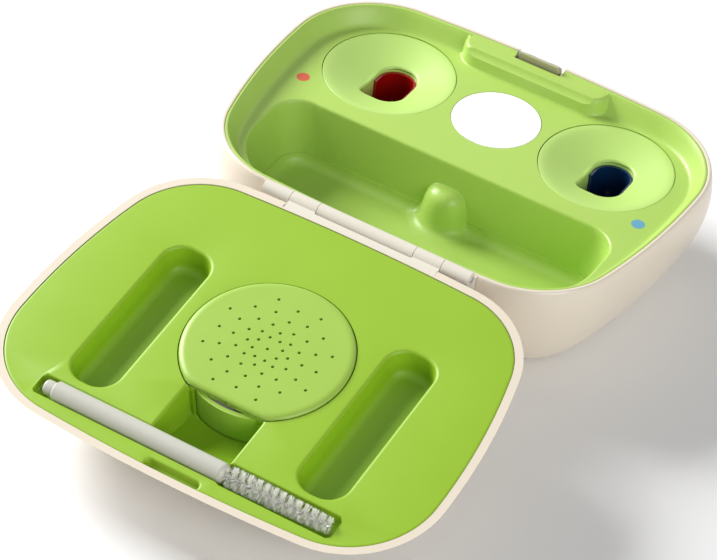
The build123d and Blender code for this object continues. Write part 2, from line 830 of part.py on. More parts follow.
lid_leaf_front = back_line + back_bow + lip - lid_lip + 2 * fit
with BuildPart() as hinge_lid_leaf:
    with BuildSketch(lid_section(-knuckle_joint_outer + knuckle_gap / 2)):
        with BuildLine():
            Polyline(
                (lid_leaf_front, leaf_edge),
                (hinge_y - knuckle_radius - turning_gap, leaf_edge),
                (hinge_y - knuckle_radius - turning_gap, lid_leaf_depth),
                (lid_leaf_front, lid_leaf_depth),
                close=True,
            )
        make_face()
    extrude(amount=2 * knuckle_joint_outer - knuckle_gap)
    for low, high in ((-knuckle_joint_outer, -knuckle_joint_inner), (knuckle_joint_inner, knuckle_joint_outer)):
        with BuildSketch(lid_section(low + knuckle_gap / 2)):
            with Locations((hinge_y, hinge_rise)):
                Circle(knuckle_radius)
            with BuildLine():
                Polyline(
                    (hinge_y - knuckle_radius - turning_gap - sunk, leaf_edge),
                    (hinge_y - lid_knuckle_web, leaf_edge),
                    (hinge_y, hinge_rise),
                    (hinge_y, hinge_rise + knuckle_radius),
                    (hinge_y - knuckle_radius - turning_gap - sunk, lid_leaf_depth),
                    close=True,
                )
            make_face()
            with Locations((hinge_y, hinge_rise)):
                Circle(pin_radius + pin_clearance, mode=Mode.SUBTRACT)
        extrude(amount=high - low - knuckle_gap)
hinge_lid_leaf.part.label = "hinge_lid_leaf"
export_step(hinge_lid_leaf.part, "parts/hinge_lid_leaf.step")

with BuildPart() as hinge_pin:
    with BuildSketch(Plane.YZ.offset(-knuckle_ends - pin_overhang)):
        with Locations((hinge_y, hinge_z)):
            Circle(pin_radius)
    extrude(amount=2 * knuckle_ends + 2 * pin_overhang)
hinge_pin.part.label = "hinge_pin"
export_step(hinge_pin.part, "parts/hinge_pin.step")

# Lid shell: a shallow dome with a rebate for the panel
lid_rebate = panel_gap + panel_thickness + fit
with BuildPart() as lid_shell:
    for step in range(lid_sections):
        share = step / (lid_sections - 1)
        with BuildSketch(lid_plane.offset(dome_height(share))):
            add(edge_outline(lip - share * lid_run))
    loft()
    # The hollow is the same dome set lower, so the skin stays even
    for step in range(lid_sections):
        share = lid_hollow_start + (1 - lid_hollow_start) * step / (lid_sections - 1)
        with BuildSketch(lid_plane.offset(dome_height(share) - lid_skin)):
            add(edge_outline(lip - share * lid_run))
    loft(mode=Mode.SUBTRACT)
    with BuildSketch(lid_plane.offset(-past)):
        add(edge_outline(lip - lid_lip))
    extrude(amount=past + lid_rebate, mode=Mode.SUBTRACT)
    # Recess for the hinge leaf
    with BuildSketch(lid_plane.offset(-past)):
        with Locations((0, lid_leaf_front - fit + rim_cut / 2)):
            Rectangle(2 * knuckle_joint_outer + 2 * fit, rim_cut)
    extrude(amount=past + lid_leaf_depth + fit, mode=Mode.SUBTRACT)
    # Undercut that the catch's nose hooks behind
    with BuildSketch(lid_plane.offset(nose_lip_base - hook_gap)):
        with Locations((0, front_line - front_bow - lip + lid_lip)):
            Rectangle(catch_slot_length, hook_depth)
    extrude(amount=nose_rise - nose_lip_base + 2 * hook_gap, mode=Mode.SUBTRACT)
lid_shell.part.label = "lid_shell"
export_step(lid_shell.part, "parts/lid_shell.step")

# Lid panel: plate with pockets, capsule well, finger notch and brush groove hanging into the lid
panel_back = panel_gap + panel_thickness
brush_plane = Plane(
    origin=lid_plane.from_local_coords((0, brush_y, brush_sink)),
    x_dir=lid_plane.x_dir,
    z_dir=lid_plane.z_dir,
)
with BuildPart() as lid_panel:
    with BuildSketch(lid_plane.offset(panel_gap)):
        add(edge_outline(lip - lid_lip - fit))
    extrude(amount=panel_thickness)
    for x in (-pocket_x, pocket_x):
        with BuildSketch(lid_plane.offset(panel_back - sunk)) as tub:
            with Locations((x, (pocket_front + pocket_back) / 2)):
                Rectangle(pocket_width + 2 * tub_wall, pocket_back - pocket_front + 2 * tub_wall)
            fillet(tub.vertices(), pocket_corner + tub_wall)
        extrude(amount=pocket_depth + tub_wall - panel_back + sunk)
    fillet(at_lid_height(lid_panel.edges(), pocket_depth + tub_wall), pocket_fillet)
    with BuildSketch(lid_plane.offset(panel_back - sunk)):
        with Locations((0, capsule_y)):
            Circle(cup_radius + well_gap + tub_wall)
    extrude(amount=cup_depth + well_gap + tub_wall - panel_back + sunk)
    with BuildSketch(lid_section(-notch_width / 2 - tub_wall)):
        with BuildLine():
            start = (capsule_y - cup_radius, notch_back_depth + tub_wall)
            end = (brush_y, brush_sink + handle_groove + groove_wall)
            Polyline(end, (brush_y, panel_back - sunk), (capsule_y, panel_back - sunk),
                     (capsule_y, notch_back_depth + tub_wall), start)
            SagittaArc(start, end, -notch_bow)
        make_face()
    extrude(amount=notch_width + 2 * tub_wall)
    # Groove walls under the plate
    for low, high, radius in ((handle_end, groove_right, handle_groove), (groove_left, handle_end, bristle_groove)):
        with BuildSketch(lid_section(low - groove_wall)) as trench:
            with Locations((brush_y, brush_sink)):
                Circle(radius + groove_wall)
            with Locations((brush_y, panel_back - sunk - 2 * radius)):
                Rectangle(4 * radius, 4 * radius, mode=Mode.SUBTRACT)
        extrude(amount=high - low + 2 * groove_wall)
    # Cuts: pockets, capsule seat and well, notch, groove, latch slot
    for x in (-pocket_x, pocket_x):
        with BuildSketch(lid_plane) as pocket:
            with Locations((x, (pocket_front + pocket_back) / 2)):
                Rectangle(pocket_width, pocket_back - pocket_front)
            fillet(pocket.vertices(), pocket_corner)
        extrude(amount=pocket_depth, mode=Mode.SUBTRACT)
        fillet(at_lid_height(lid_panel.edges(Select.LAST), panel_gap), pocket_edge)
    fillet(at_lid_height(lid_panel.edges(), pocket_depth), pocket_fillet)
    with BuildSketch(lid_plane):
        add(capsule_outline(fit))
    extrude(amount=cover_sink, mode=Mode.SUBTRACT)
    with BuildSketch(lid_plane):
        with Locations((0, capsule_y)):
            Circle(cup_radius + well_gap)
    extrude(amount=cup_depth + well_gap, mode=Mode.SUBTRACT)
    with BuildSketch(lid_section(-notch_width / 2)):
        with BuildLine():
            start = (capsule_y - cup_radius, notch_back_depth)
            end = (brush_y, brush_sink + notch_front_depth)
            Polyline(end, (brush_y, -past), (capsule_y, -past), (capsule_y, notch_back_depth), start)
            SagittaArc(start, end, -notch_bow)
        make_face()
    extrude(amount=notch_width, mode=Mode.SUBTRACT)
    for low, high, radius in ((handle_end, groove_right, handle_groove), (groove_left, handle_end, bristle_groove)):
        with BuildSketch(lid_section(low)):
            with Locations((brush_y, brush_sink)):
                Circle(radius)
            with Locations((brush_y, brush_sink - radius)):
                Rectangle(2 * radius, 2 * radius)
        extrude(amount=high - low, mode=Mode.SUBTRACT)
    with BuildSketch(lid_plane):
        with Locations((0, catch_slot_back - rim_cut / 2)):
            Rectangle(catch_slot_length, rim_cut)
    extrude(amount=catch_slot_depth, mode=Mode.SUBTRACT)
lid_panel.part.label = "lid_panel"
export_step(lid_panel.part, "parts/lid_panel.step")

# Drying capsule: cup, perforated cover and the drying agent inside
with BuildPart() as capsule_cup:
    with BuildSketch(lid_plane.offset(cover_sink)):
        with Locations((0, capsule_y)):
            Circle(cup_radius)
    extrude(amount=cup_depth - cover_sink)
    with BuildSketch(lid_plane.offset(cover_sink)):
        with Locations((0, capsule_y)):
            Circle(cup_radius - cup_wall)
    extrude(amount=cup_depth - cover_sink - cup_floor, mode=Mode.SUBTRACT)
capsule_cup.part.label = "capsule_cup"
export_step(capsule_cup.part, "parts/capsule_cup.step")

pinholes = [(0, capsule_y)]
for ring in range(pinhole_rings):
    reach = first_ring_radius + ring * ring_step
    for arm in range(pinhole_arms):
        bearing = radians((arm + (1 + ring % 2) / 2) * 360 / pinhole_arms)
        pinholes.append((reach * cos(bearing), capsule_y + reach * sin(bearing)))
# The cover is drawn flat and then laid into the open lid
with BuildPart() as flat_cover:
    with BuildSketch(Plane.XY.offset(cover_sink)):
        add(capsule_outline(0))
    extrude(amount=-cover_sink - cover_rise)
    fillet(flat_cover.faces().sort_by(Axis.Z)[0].edges(), cover_edge)
    with BuildSketch(Plane.XY.offset(cover_sink)):
        add(capsule_outline(-cover_wall))
    extrude(amount=-cover_sink - cover_rise + cover_plate, mode=Mode.SUBTRACT)
    with BuildSketch(Plane.XY.offset(cover_sink)):
        with Locations(*pinholes):
            Circle(pinhole_radius)
    extrude(amount=-2 * cover_sink - 2 * cover_rise, mode=Mode.SUBTRACT)
capsule_cover = lid_plane.location * flat_cover.part
capsule_cover.label = "capsule_cover"
export_step(capsule_cover, "parts/capsule_cover.step")

with BuildPart() as drying_agent:
    with BuildSketch(lid_plane.offset(cup_depth - cup_floor - fit)):
        with Locations((0, capsule_y)):
            Circle(cup_radius - cup_wall - 2 * fit)
    extrude(amount=-agent_depth)
drying_agent.part.label = "drying_agent"
export_step(drying_agent.part, "parts/drying_agent.step")

# Cleaning brush: handle, end cap with a thinner tip, wire core and bristles
with BuildPart() as brush_handle:
    with BuildSketch(Plane(origin=brush_plane.from_local_coords((handle_end, 0, 0)),
                           x_dir=lid_plane.y_dir, z_dir=lid_plane.x_dir)):
        Circle(handle_radius)
    extrude(amount=handle_start - handle_end)
    fillet(brush_handle.edges().group_by(Axis.X)[0], handle_round)
brush_handle.part.label = "brush_handle"
export_step(brush_handle.part, "parts/brush_handle.step")

with BuildPart() as brush_cap:
    with BuildSketch(Plane(origin=brush_plane.from_local_coords((handle_start, 0, 0)),
                           x_dir=lid_plane.y_dir, z_dir=lid_plane.x_dir)):
        Circle(handle_radius)
    extrude(amount=cap_end - handle_start)
    chamfer(brush_cap.edges().group_by(Axis.X)[-1], cap_edge)
    with BuildSketch(Plane(origin=brush_plane.from_local_coords((cap_end, 0, 0)),
                           x_dir=lid_plane.y_dir, z_dir=lid_plane.x_dir)):
        Circle(tip_radius)
    extrude(amount=brush_tip - cap_end)
    fillet(brush_cap.edges().group_by(Axis.X)[-1], tip_round)
brush_cap.part.label = "brush_cap"
export_step(brush_cap.part, "parts/brush_cap.step")


def bristle(x, bearing, length):
    """One bristle: a thin three-sided prism standing on the core at x, turned to its bearing."""
    with BuildSketch(Plane(brush_plane.location * Location((x, 0, 0), (bearing, 0, 0)))) as section:
        RegularPolygon(bristle_side / 3 ** 0.5, 3)
    return extrude(section.sketch, amount=length)


bristle_length = handle_end - bristle_end
bristles = []
for station in range(bristle_stations):
    share = (station + 0.5) / bristle_stations
    reach = bristle_root_radius + (bristle_tip_radius - bristle_root_radius) * share
    for turn_index in range(bristles_per_station):
        bearing = station * bristle_twist + turn_index * 360 / bristles_per_station
        bristles.append(bristle(handle_end - share * bristle_length, bearing, reach))
with BuildPart() as brush_bristles:
    with BuildSketch(Plane(origin=brush_plane.from_local_coords((bristle_end, 0, 0)),
                           x_dir=lid_plane.y_dir, z_dir=lid_plane.x_dir)):
        Circle(core_radius)
    extrude(amount=bristle_length)
    add(bristles)
brush_bristles.part.label = "brush_bristles"
export_step(brush_bristles.part, "parts/brush_bristles.step")
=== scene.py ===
# %% [markdown]
# # A hearing aid charger with its lid laid open
# The charger is a pebble-shaped case in two halves. The lower half holds a green tray with two
# charging inserts and a storage trough, and the lid holds a green panel with two pockets, a drying
# capsule and a cleaning brush. Every size below is in millimetres, measured in the frame of the
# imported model, and becomes metres only when a mesh is written.

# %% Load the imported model
import json
import math

import bmesh
import bpy
import numpy as np
from mathutils import Matrix, Vector, geometry


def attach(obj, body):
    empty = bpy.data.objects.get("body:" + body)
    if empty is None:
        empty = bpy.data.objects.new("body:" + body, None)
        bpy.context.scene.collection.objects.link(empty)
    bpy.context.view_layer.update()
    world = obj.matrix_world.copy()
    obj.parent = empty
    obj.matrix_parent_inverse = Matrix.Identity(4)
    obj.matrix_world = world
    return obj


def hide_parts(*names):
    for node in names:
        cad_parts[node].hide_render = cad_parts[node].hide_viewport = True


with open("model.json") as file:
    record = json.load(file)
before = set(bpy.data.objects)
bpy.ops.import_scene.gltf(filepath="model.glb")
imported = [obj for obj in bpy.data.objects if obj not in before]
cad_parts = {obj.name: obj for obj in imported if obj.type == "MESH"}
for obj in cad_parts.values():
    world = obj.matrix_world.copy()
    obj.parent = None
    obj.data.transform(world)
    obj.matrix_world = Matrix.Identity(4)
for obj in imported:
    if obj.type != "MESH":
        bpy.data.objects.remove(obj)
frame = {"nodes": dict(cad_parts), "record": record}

MM = 0.001
scene = bpy.context.scene
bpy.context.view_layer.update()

# %% [markdown]
# ## The camera
# The photograph was taken from behind the hinge with a long lens. The place and turn of the camera
# were found by fitting the case's outline, the hinge and the holes of the capsule to the picture.
# A camera looks along its own -Z, so its matrix is made of a right, an up and a back direction.

# %% Camera
rim_z = 32.0
right = Vector((-0.85163992, -0.51737698, 0.08384812))
up = Vector((0.39365807, -0.52578639, 0.75404376))
back = Vector((-0.34603869, 0.67518126, 0.6514503))
place = Vector((-283.067, 600.866, 519.536 + rim_z)) * MM
picture_width = 717
focal_pixels = 3258.998

camera_data = bpy.data.cameras.new("camera")
camera_data.sensor_width = 36.0
camera_data.lens = focal_pixels / picture_width * camera_data.sensor_width
camera = bpy.data.objects.new("camera", camera_data)
scene.collection.objects.link(camera)
turn = Matrix((right, up, back)).transposed().to_4x4()
camera.matrix_world = Matrix.Translation(place) @ turn
scene.camera = camera
print("lens", round(camera_data.lens, 1), "mm")

# %% [markdown]
# ## Light
# The picture has soft studio light: a wide source up on the left, a weaker one on the right, and a
# pale surround that fills the shadows. The world shows white to the camera and to reflections, but
# lights the object more gently, so that the pale shell keeps its tone.

# %% Light and surround
def area_lamp(name, where, target, size, power):
    """A square lamp at a place, turned so that its face looks at the target, all in metres."""
    data = bpy.data.lights.new(name, "AREA")
    data.size = size
    data.energy = power
    lamp = bpy.data.objects.new(name, data)
    aim = (Vector(where) - Vector(target)).to_track_quat("Z", "Y").to_matrix().to_4x4()
    lamp.matrix_world = Matrix.Translation(where) @ aim
    scene.collection.objects.link(lamp)


middle = (0.0, 0.04, 0.02)
area_lamp("key_light", (0.95, -0.1, 0.58), middle, 0.5, 20.5)
area_lamp("fill_light", (-0.8, 0.55, 0.4), middle, 0.6, 5.5)

world = bpy.data.worlds.new("surround")
scene.world = world
world.use_nodes = True
surround = world.node_tree
surround.nodes.clear()
link = surround.links.new
seen = surround.nodes.new("ShaderNodeLightPath")
seen_or_mirrored = surround.nodes.new("ShaderNodeMath")
seen_or_mirrored.operation = "MAXIMUM"
link(seen.outputs["Is Camera Ray"], seen_or_mirrored.inputs[0])
link(seen.outputs["Is Glossy Ray"], seen_or_mirrored.inputs[1])
lighting_strength, seen_strength = 0.26, 1.0
strength = surround.nodes.new("ShaderNodeMapRange")
strength.inputs["To Min"].default_value = lighting_strength
strength.inputs["To Max"].default_value = seen_strength
link(seen_or_mirrored.outputs[0], strength.inputs["Value"])
sky = surround.nodes.new("ShaderNodeBackground")
sky.inputs["Color"].default_value = (1.0, 1.0, 1.0, 1.0)
link(strength.outputs[0], sky.inputs["Strength"])
link(sky.outputs[0], surround.nodes.new("ShaderNodeOutputWorld").inputs["Surface"])
scene.view_settings.view_transform = "Standard"

# %% [markdown]
# ## A small language for finishes
# Shader maths reads better as Python than as a list of links. `Flow` wraps one output socket and
# turns + and * into Math nodes, and `Finish` makes a material and adds any other node in one call,
# with the values or links of its inputs.

# %% Socket arithmetic
class Flow:
    """One output socket with arithmetic: an expression on flows adds its Math nodes."""

    def __init__(self, tree, socket):
        self.tree = tree
        self.socket = socket

    def _math(self, operation, other):
        node = self.tree.nodes.new("ShaderNodeMath")
        node.operation = operation
        fill(self.tree, node.inputs[0], self)
        fill(self.tree, node.inputs[1], other)
        return Flow(self.tree, node.outputs[0])

    def __add__(self, other):
        return self._math("ADD", other)

    def __mul__(self, other):
        return self._math("MULTIPLY", other)


def fill(tree, slot, value):
    """Links a flow to an input, or gives the input a plain value."""
    if isinstance(value, Flow):
        tree.links.new(value.socket, slot)
    else:
        slot.default_value = value


class Finish:
    """A material with one Principled shader, and methods that add other nodes."""

    def __init__(self, name):
        self.material = bpy.data.materials.new(name)
        self.material.use_nodes = True
        self.tree = self.material.node_tree
        self.shader = self.tree.nodes["Principled BSDF"]

    def flow(self, kind, output, values=None, **settings):
        """Adds a node, sets its settings, fills its inputs and wraps one of its outputs."""
        node = self.tree.nodes.new("ShaderNode" + kind)
        for key, value in settings.items():
            setattr(node, key, value)
        for key, value in (values or {}).items():
            fill(self.tree, node.inputs[key], value)
        return Flow(self.tree, node.outputs[output])

    def noise(self, where, scale, detail):
        """Noise from 0 to 1, with so many lumps per metre."""
        return self.flow("TexNoise", "Fac", {"Vector": where, "Scale": scale, "Detail": detail})

    def blend(self, share, first, second):
        """A colour between two colours."""
        return self.flow("Mix", 2, {0: share, 6: first, 7: second}, data_type="RGBA")

    def bump(self, height, strength, distance):
        """The normal of a surface that rises and falls with a flow."""
        return self.flow("Bump", "Normal", {"Strength": strength, "Distance": distance, "Height": height})

    def set(self, **values):
        """Sets sockets of the shader: Base_Color=..., Roughness=..."""
        for key, value in values.items():
            fill(self.tree, self.shader.inputs[key.replace("_", " ")], value)


def rgb(*screen):
    """A screen colour from 0 to 255, as the linear colour that a shader needs."""
    linear = [((c / 255 + 0.055) / 1.055) ** 2.4 if c > 10 else c / 255 / 12.92 for c in screen]
    return (*linear, 1.0)


def toned(colour, factor):
    """A colour made darker or lighter by a factor."""
    return (*(min(c * factor, 1.0) for c in colour[:3]), 1.0)


# %% [markdown]
# ## Moulded plastic
# Nearly every piece is injection-moulded plastic. What tells it from flat paint is small: a fine
# spark-eroded grain in the surface, a slow unevenness of the gloss, and a tone that drifts by a few
# percent where the melt flowed. One function makes them all, with the grain on Object coordinates
# so that its size is the same on every piece.

# %% Plastic finishes
patch_size, grain_relief = 14.0 * MM, 0.05 * MM


def moulded(name, colour, roughness, drift=0.04, grain=0.05, grain_size=0.35, coat=0.0):
    """Plastic: colour drifting between two tones, gloss in slow patches, and a fine moulded grain."""
    finish = Finish(name)
    where = finish.flow("TexCoord", "Object")
    patches = finish.noise(where, 1 / patch_size, 3.0)
    grains = finish.noise(where, 1 / (grain_size * MM), 2.0)
    tone = finish.blend(patches, toned(colour, 1 - drift), toned(colour, 1 + drift))
    finish.set(Base_Color=tone, Roughness=patches * 0.12 + grains * 0.06 + (roughness - 0.09))
    finish.set(Normal=finish.bump(grains, grain, grain_relief), Coat_Weight=coat, Coat_Roughness=0.12)
    return finish.material


finishes = {
    "disc_white": moulded("disc_plastic", rgb(244, 244, 242), 0.3, drift=0.01, coat=0.2),
    "shell": moulded("shell_plastic", rgb(224, 213, 194), 0.32, drift=0.02, coat=0.25),
    "tray_green": moulded("tray_plastic", rgb(168, 201, 92), 0.4, drift=0.03),
    "insert_green": moulded("insert_plastic", rgb(180, 213, 114), 0.4, drift=0.03),
    "panel_green": moulded("panel_plastic", rgb(141, 181, 32), 0.45, drift=0.03),
    "capsule_green": moulded("capsule_plastic", rgb(155, 190, 73), 0.4, drift=0.03),
    "liner_red": moulded("liner_red_plastic", rgb(150, 14, 12), 0.2, drift=0.05, grain=0.02, coat=0.5),
    "liner_blue": moulded("liner_blue_plastic", rgb(10, 44, 82), 0.2, drift=0.05, grain=0.02, coat=0.5),
    "dot_red": moulded("dot_red_plastic", rgb(214, 92, 62), 0.35, drift=0.03),
    "dot_blue": moulded("dot_blue_plastic", rgb(96, 160, 192), 0.35, drift=0.03),
    "catch": moulded("catch_plastic", rgb(172, 168, 136), 0.34, drift=0.03),
    "hinge": moulded("hinge_plastic", rgb(222, 216, 202), 0.3, drift=0.02, coat=0.25),
    "board": moulded("board_mask", rgb(20, 84, 44), 0.3),
    "battery": moulded("battery_sleeve", rgb(60, 62, 66), 0.35),
    "light": moulded("light_pipe", rgb(226, 232, 224), 0.12, coat=0.5),
    "rubber": moulded("pad_rubber", rgb(46, 46, 48), 0.7, grain=0.3, grain_size=0.8),
    "drying_agent": moulded("drying_tablet", rgb(226, 226, 222), 0.8, grain=0.4, grain_size=1.2),
    "brush_grey": moulded("brush_plastic", rgb(196, 195, 184), 0.34, drift=0.03),
}

# %% [markdown]
# Steel, gold plate and nylon bristles are not moulded, so they get finishes of their own: brushed
# streaks along one axis for the steel, a soft warm metal for the contacts, and a pale, slightly
# see-through thread for the bristles.

# %% Metal and nylon finishes
def metal(name, colour, roughness):
    """Metal with fine streaks along X that vary its roughness."""
    finish = Finish(name)
    where = finish.flow("TexCoord", "Object")
    stretched = finish.flow("Mapping", "Vector", {"Vector": where, "Scale": (40.0, 900.0, 900.0)})
    streaks = finish.noise(stretched, 3.0, 3.0)
    finish.set(Base_Color=colour, Metallic=1.0, Roughness=streaks * 0.2 + (roughness - 0.1))
    finish.set(Normal=finish.bump(streaks, 0.08, 0.02 * MM))
    return finish.material


def nylon(name, colour):
    """Nylon thread: pale, satin, a little see-through, with tone that changes from strand to strand."""
    finish = Finish(name)
    strands = finish.noise(finish.flow("TexCoord", "Object"), 1400.0, 1.0)
    tone = finish.blend(strands, toned(colour, 0.82), colour)
    finish.set(Base_Color=tone, Roughness=strands * 0.2 + 0.3)
    finish.set(Subsurface_Weight=0.15, Subsurface_Radius=(0.001, 0.001, 0.001))
    return finish.material


finishes["steel"] = metal("bright_steel", (0.62, 0.62, 0.63, 1.0), 0.3)
finishes["gold"] = metal("contact_gold", (0.83, 0.62, 0.25, 1.0), 0.25)
finishes["bristle"] = nylon("bristle_nylon", rgb(250, 250, 242))
print("finishes:", len(finishes))

# %% [markdown]
# ## The case outline
# Seen from above, the case is four slightly bowed edges joined by large round corners: eight arcs
# in all. Moving the outline in or out only changes the radius of each arc, so a ring at any offset
# has matching points. The centre of a corner arc lies where the two neighbouring circles, both
# shrunk by the corner radius, cross each other.

# %% Outline arcs
front_width, back_width = 116.2, 100.4
front_line, back_line = -41.1, 41.2
front_bow, back_bow, side_bow = 3.2, 2.0, 5.2
front_corner_radius, back_corner_radius = 25.0, 23.8


def circle_through(a, b, c):
    """Centre and radius of the circle through three points: solve |p - a| = |p - b| = |p - c|."""
    a, b, c = (np.array(p, float) for p in (a, b, c))
    centre = np.linalg.solve(2 * np.array([b - a, c - a]), np.array([b @ b - a @ a, c @ c - a @ a]))
    return centre, float(np.linalg.norm(a - centre))


def corner_centre(first, second, radius, near):
    """Where the two circles, both shrunk by the corner radius, cross nearest to a given point."""
    (c1, r1), (c2, r2) = first, second
    r1, r2 = r1 - radius, r2 - radius
    apart = np.linalg.norm(c2 - c1)
    along = (r1 * r1 - r2 * r2 + apart * apart) / (2 * apart)
    across = math.sqrt(r1 * r1 - along * along)
    way = (c2 - c1) / apart
    foot = c1 + along * way
    side = np.array([-way[1], way[0]]) * across
    return min((foot + side, foot - side), key=lambda p: np.linalg.norm(p - near))


front_left, front_right = (-front_width / 2, front_line), (front_width / 2, front_line)
back_left, back_right = (-back_width / 2, back_line), (back_width / 2, back_line)
side_bulge = ((front_width + back_width) / 4 + side_bow, (front_line + back_line) / 2)
front_arc = circle_through(front_left, (0, front_line - front_bow), front_right)
side_arc = circle_through(front_right, side_bulge, back_right)
back_arc = circle_through(back_right, (0, back_line + back_bow), back_left)
front_corner = corner_centre(front_arc, side_arc, front_corner_radius, np.array([33.0, -17.0]))
back_corner = corner_centre(side_arc, back_arc, back_corner_radius, np.array([27.0, 17.0]))


def unit(angle):
    """The point of the unit circle at each angle."""
    return np.column_stack([np.cos(angle), np.sin(angle)])


def heading(tail, tip):
    """Angle of the direction from one point to another."""
    return math.atan2(tip[1] - tail[1], tip[0] - tail[0])


front_end, side_start = heading(front_arc[0], front_corner), heading(side_arc[0], front_corner)
side_end, back_start = heading(side_arc[0], back_corner), heading(back_arc[0], back_corner)
# Each arc is centre, radius and two angles, anticlockwise round the right half of the case
half_arcs = [
    (*front_arc, -math.pi / 2, front_end),
    (front_corner, front_corner_radius, front_end, side_start),
    (*side_arc, side_start, side_end),
    (back_corner, back_corner_radius, side_end, back_start),
    (*back_arc, back_start, math.pi / 2),
]


def case_outline(offset, fine=1):
    """Points round the case, moved outwards: centre + (radius + offset) * (cos a, sin a) on each arc."""
    half = []
    for (centre, radius, start, stop), steps in zip(half_arcs, (12, 16, 12, 16, 10)):
        angle = np.linspace(start, stop, steps * fine, endpoint=False)
        half.append(centre + (radius + offset) * unit(angle))
    half = np.concatenate(half + [np.array([[0.0, back_arc[0][1] + back_arc[1] + offset]])])
    mirrored = half[1:-1][::-1] * (-1, 1)
    return np.concatenate([half, mirrored])


print("outline points:", len(case_outline(0)), "width", np.ptp(case_outline(0), axis=0))

# %% [markdown]
# ## From arrays to pieces
# A piece is gathered from patches: a patch is an array of points and an array of faces. Rings of
# matching points are joined by quads, a flat ring is closed by triangles, and the patches are then
# merged into one mesh, where a sheet gets its wall by Solidify. The lid is drawn closed and opened
# by one turn about the hinge.

# %% Patches
hinge_y, hinge_rise = 46.7, 1.07
open_turn = math.radians(-189.7)


def opened(points):
    """Turns points of the closed lid, with heights from its rim, about the hinge into the open lid."""
    x, y, z = points[:, 0], points[:, 1] - hinge_y, points[:, 2] - hinge_rise
    c, s = math.cos(open_turn), math.sin(open_turn)
    return np.column_stack([x, hinge_y + y * c - z * s, rim_z + hinge_rise + y * s + z * c])


def raised(ring, height):
    """A flat ring of x, y points lifted to a height, which may differ from point to point."""
    return np.column_stack([ring, np.broadcast_to(height, len(ring))])


class Shape:
    """Patches of points and faces that become one mesh."""

    def __init__(self):
        self.points = []
        self.faces = []
        self.count = 0

    def patch(self, points, faces):
        self.points.append(points)
        self.faces.extend((np.asarray(faces) + self.count).tolist())
        self.count += len(points)

    def rings(self, rings):
        """Quads between neighbouring rings: ring i, point j joins ring i + 1, point j + 1."""
        rows, columns = len(rings), len(rings[0])
        i = np.arange(rows - 1)[:, None]
        j = np.arange(columns)[None, :]
        here, above, after = i * columns, (i + 1) * columns, (j + 1) % columns
        quads = np.stack([here + j, here + after, above + after, above + j], -1)
        self.patch(np.concatenate(rings), quads.reshape(-1, 4))

    def cap(self, ring):
        """A flat lid on a closed ring, cut into triangles."""
        self.patch(ring, geometry.tessellate_polygon([[Vector(p) for p in ring]]))


def new_object(name, points, faces):
    """A mesh object in the scene, from points in millimetres."""
    mesh = bpy.data.meshes.new(name)
    mesh.from_pydata((points * MM).tolist(), [], faces)
    made = bpy.data.objects.new(name, mesh)
    scene.collection.objects.link(made)
    return made


def bake(piece, sharp=40.0):
    """Applies a piece's modifiers, then smooths it and marks every edge sharper than an angle."""
    bpy.context.view_layer.update()
    result = bpy.data.meshes.new_from_object(piece.evaluated_get(bpy.context.evaluated_depsgraph_get()))
    piece.modifiers.clear()
    piece.data = result
    result.shade_smooth()
    result.set_sharp_from_angle(angle=math.radians(sharp))


def make_piece(name, shape, body, slot, replaces=(), opens=False, sharp=40.0, thickness=0.0):
    """Writes a shape into a mesh, merges its seams, points its faces outwards and dresses it."""
    points = np.concatenate(shape.points)
    piece = new_object(name, opened(points) if opens else points, shape.faces)
    mesh = piece.data
    work = bmesh.new()
    work.from_mesh(mesh)
    bmesh.ops.remove_doubles(work, verts=work.verts, dist=0.002 * MM)
    bmesh.ops.recalc_face_normals(work, faces=work.faces)
    work.to_mesh(mesh)
    work.free()
    mesh.shade_smooth()
    mesh.set_sharp_from_angle(angle=math.radians(sharp))
    mesh.materials.append(finishes[slot])
    if thickness:
        wall = piece.modifiers.new("wall", "SOLIDIFY")
        wall.thickness = thickness * MM
        wall.offset = -1.0
        bake(piece, sharp)
    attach(piece, body)
    if replaces:
        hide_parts(*replaces)
    print(name, "faces", len(piece.data.polygons))
    return piece


def carve(piece, cutters):
    """Takes closed cutters, in millimetres, out of a piece with Boolean modifiers and applies them."""
    tools = []
    for number, cutter in enumerate(cutters):
        tools.append(new_object("cutter", np.concatenate(cutter.points), cutter.faces))
        cut = piece.modifiers.new(f"cut_{number}", "BOOLEAN")
        cut.object = tools[-1]
        cut.solver = "EXACT"
    bake(piece)
    for tool in tools:
        bpy.data.objects.remove(tool)
    print(piece.name, "carved, faces", len(piece.data.polygons))


def bored(ring, axis, start, stop):
    """A closed cutter: an outline in the other two axes, carried along X (0) or Y (1)."""
    shape = Shape()
    ends = [np.insert(ring, axis, at, axis=1) for at in (start, stop)]
    shape.rings(ends)
    shape.cap(ends[0][::-1])
    shape.cap(ends[1])
    return shape


def rectangle(x0, x1, y0, y1):
    """A rectangle, anticlockwise."""
    return np.array([[x0, y0], [x1, y0], [x1, y1], [x0, y1]], float)


def stadium(length, height):
    """A slot outline: two half circles joined by straight sides, anticlockwise."""
    radius = height / 2
    angle = np.linspace(-math.pi / 2, math.pi / 2, 12)
    half = unit(angle) * radius + (length / 2 - radius, 0)
    return np.concatenate([half, -half])


def circle(radius, steps=64, centre=(0.0, 0.0)):
    """A round outline, anticlockwise."""
    angle = np.linspace(0, 2 * math.pi, steps, endpoint=False)
    return unit(angle) * radius + centre


# %% [markdown]
# ## Base shell
# The lower shell is a bowl whose side swells by a couple of millimetres under the rim and then
# rolls in to a flat underside. A profile of offset and height, carried round the outline, gives
# the outer skin, the rounded lip and the hollow inside in one closed skin. The openings for the
# catch, the hinge, the button, the light and the power inlet are then carved out of it.

# %% Base shell
base_height, pad_height, shell_floor_z = 32.0, 0.8, 3.0
belly_depth, belly, lip, base_run, base_roundness = 7.0, 2.0, 1.0, 12.5, 1.6
shell_wall = 1.8


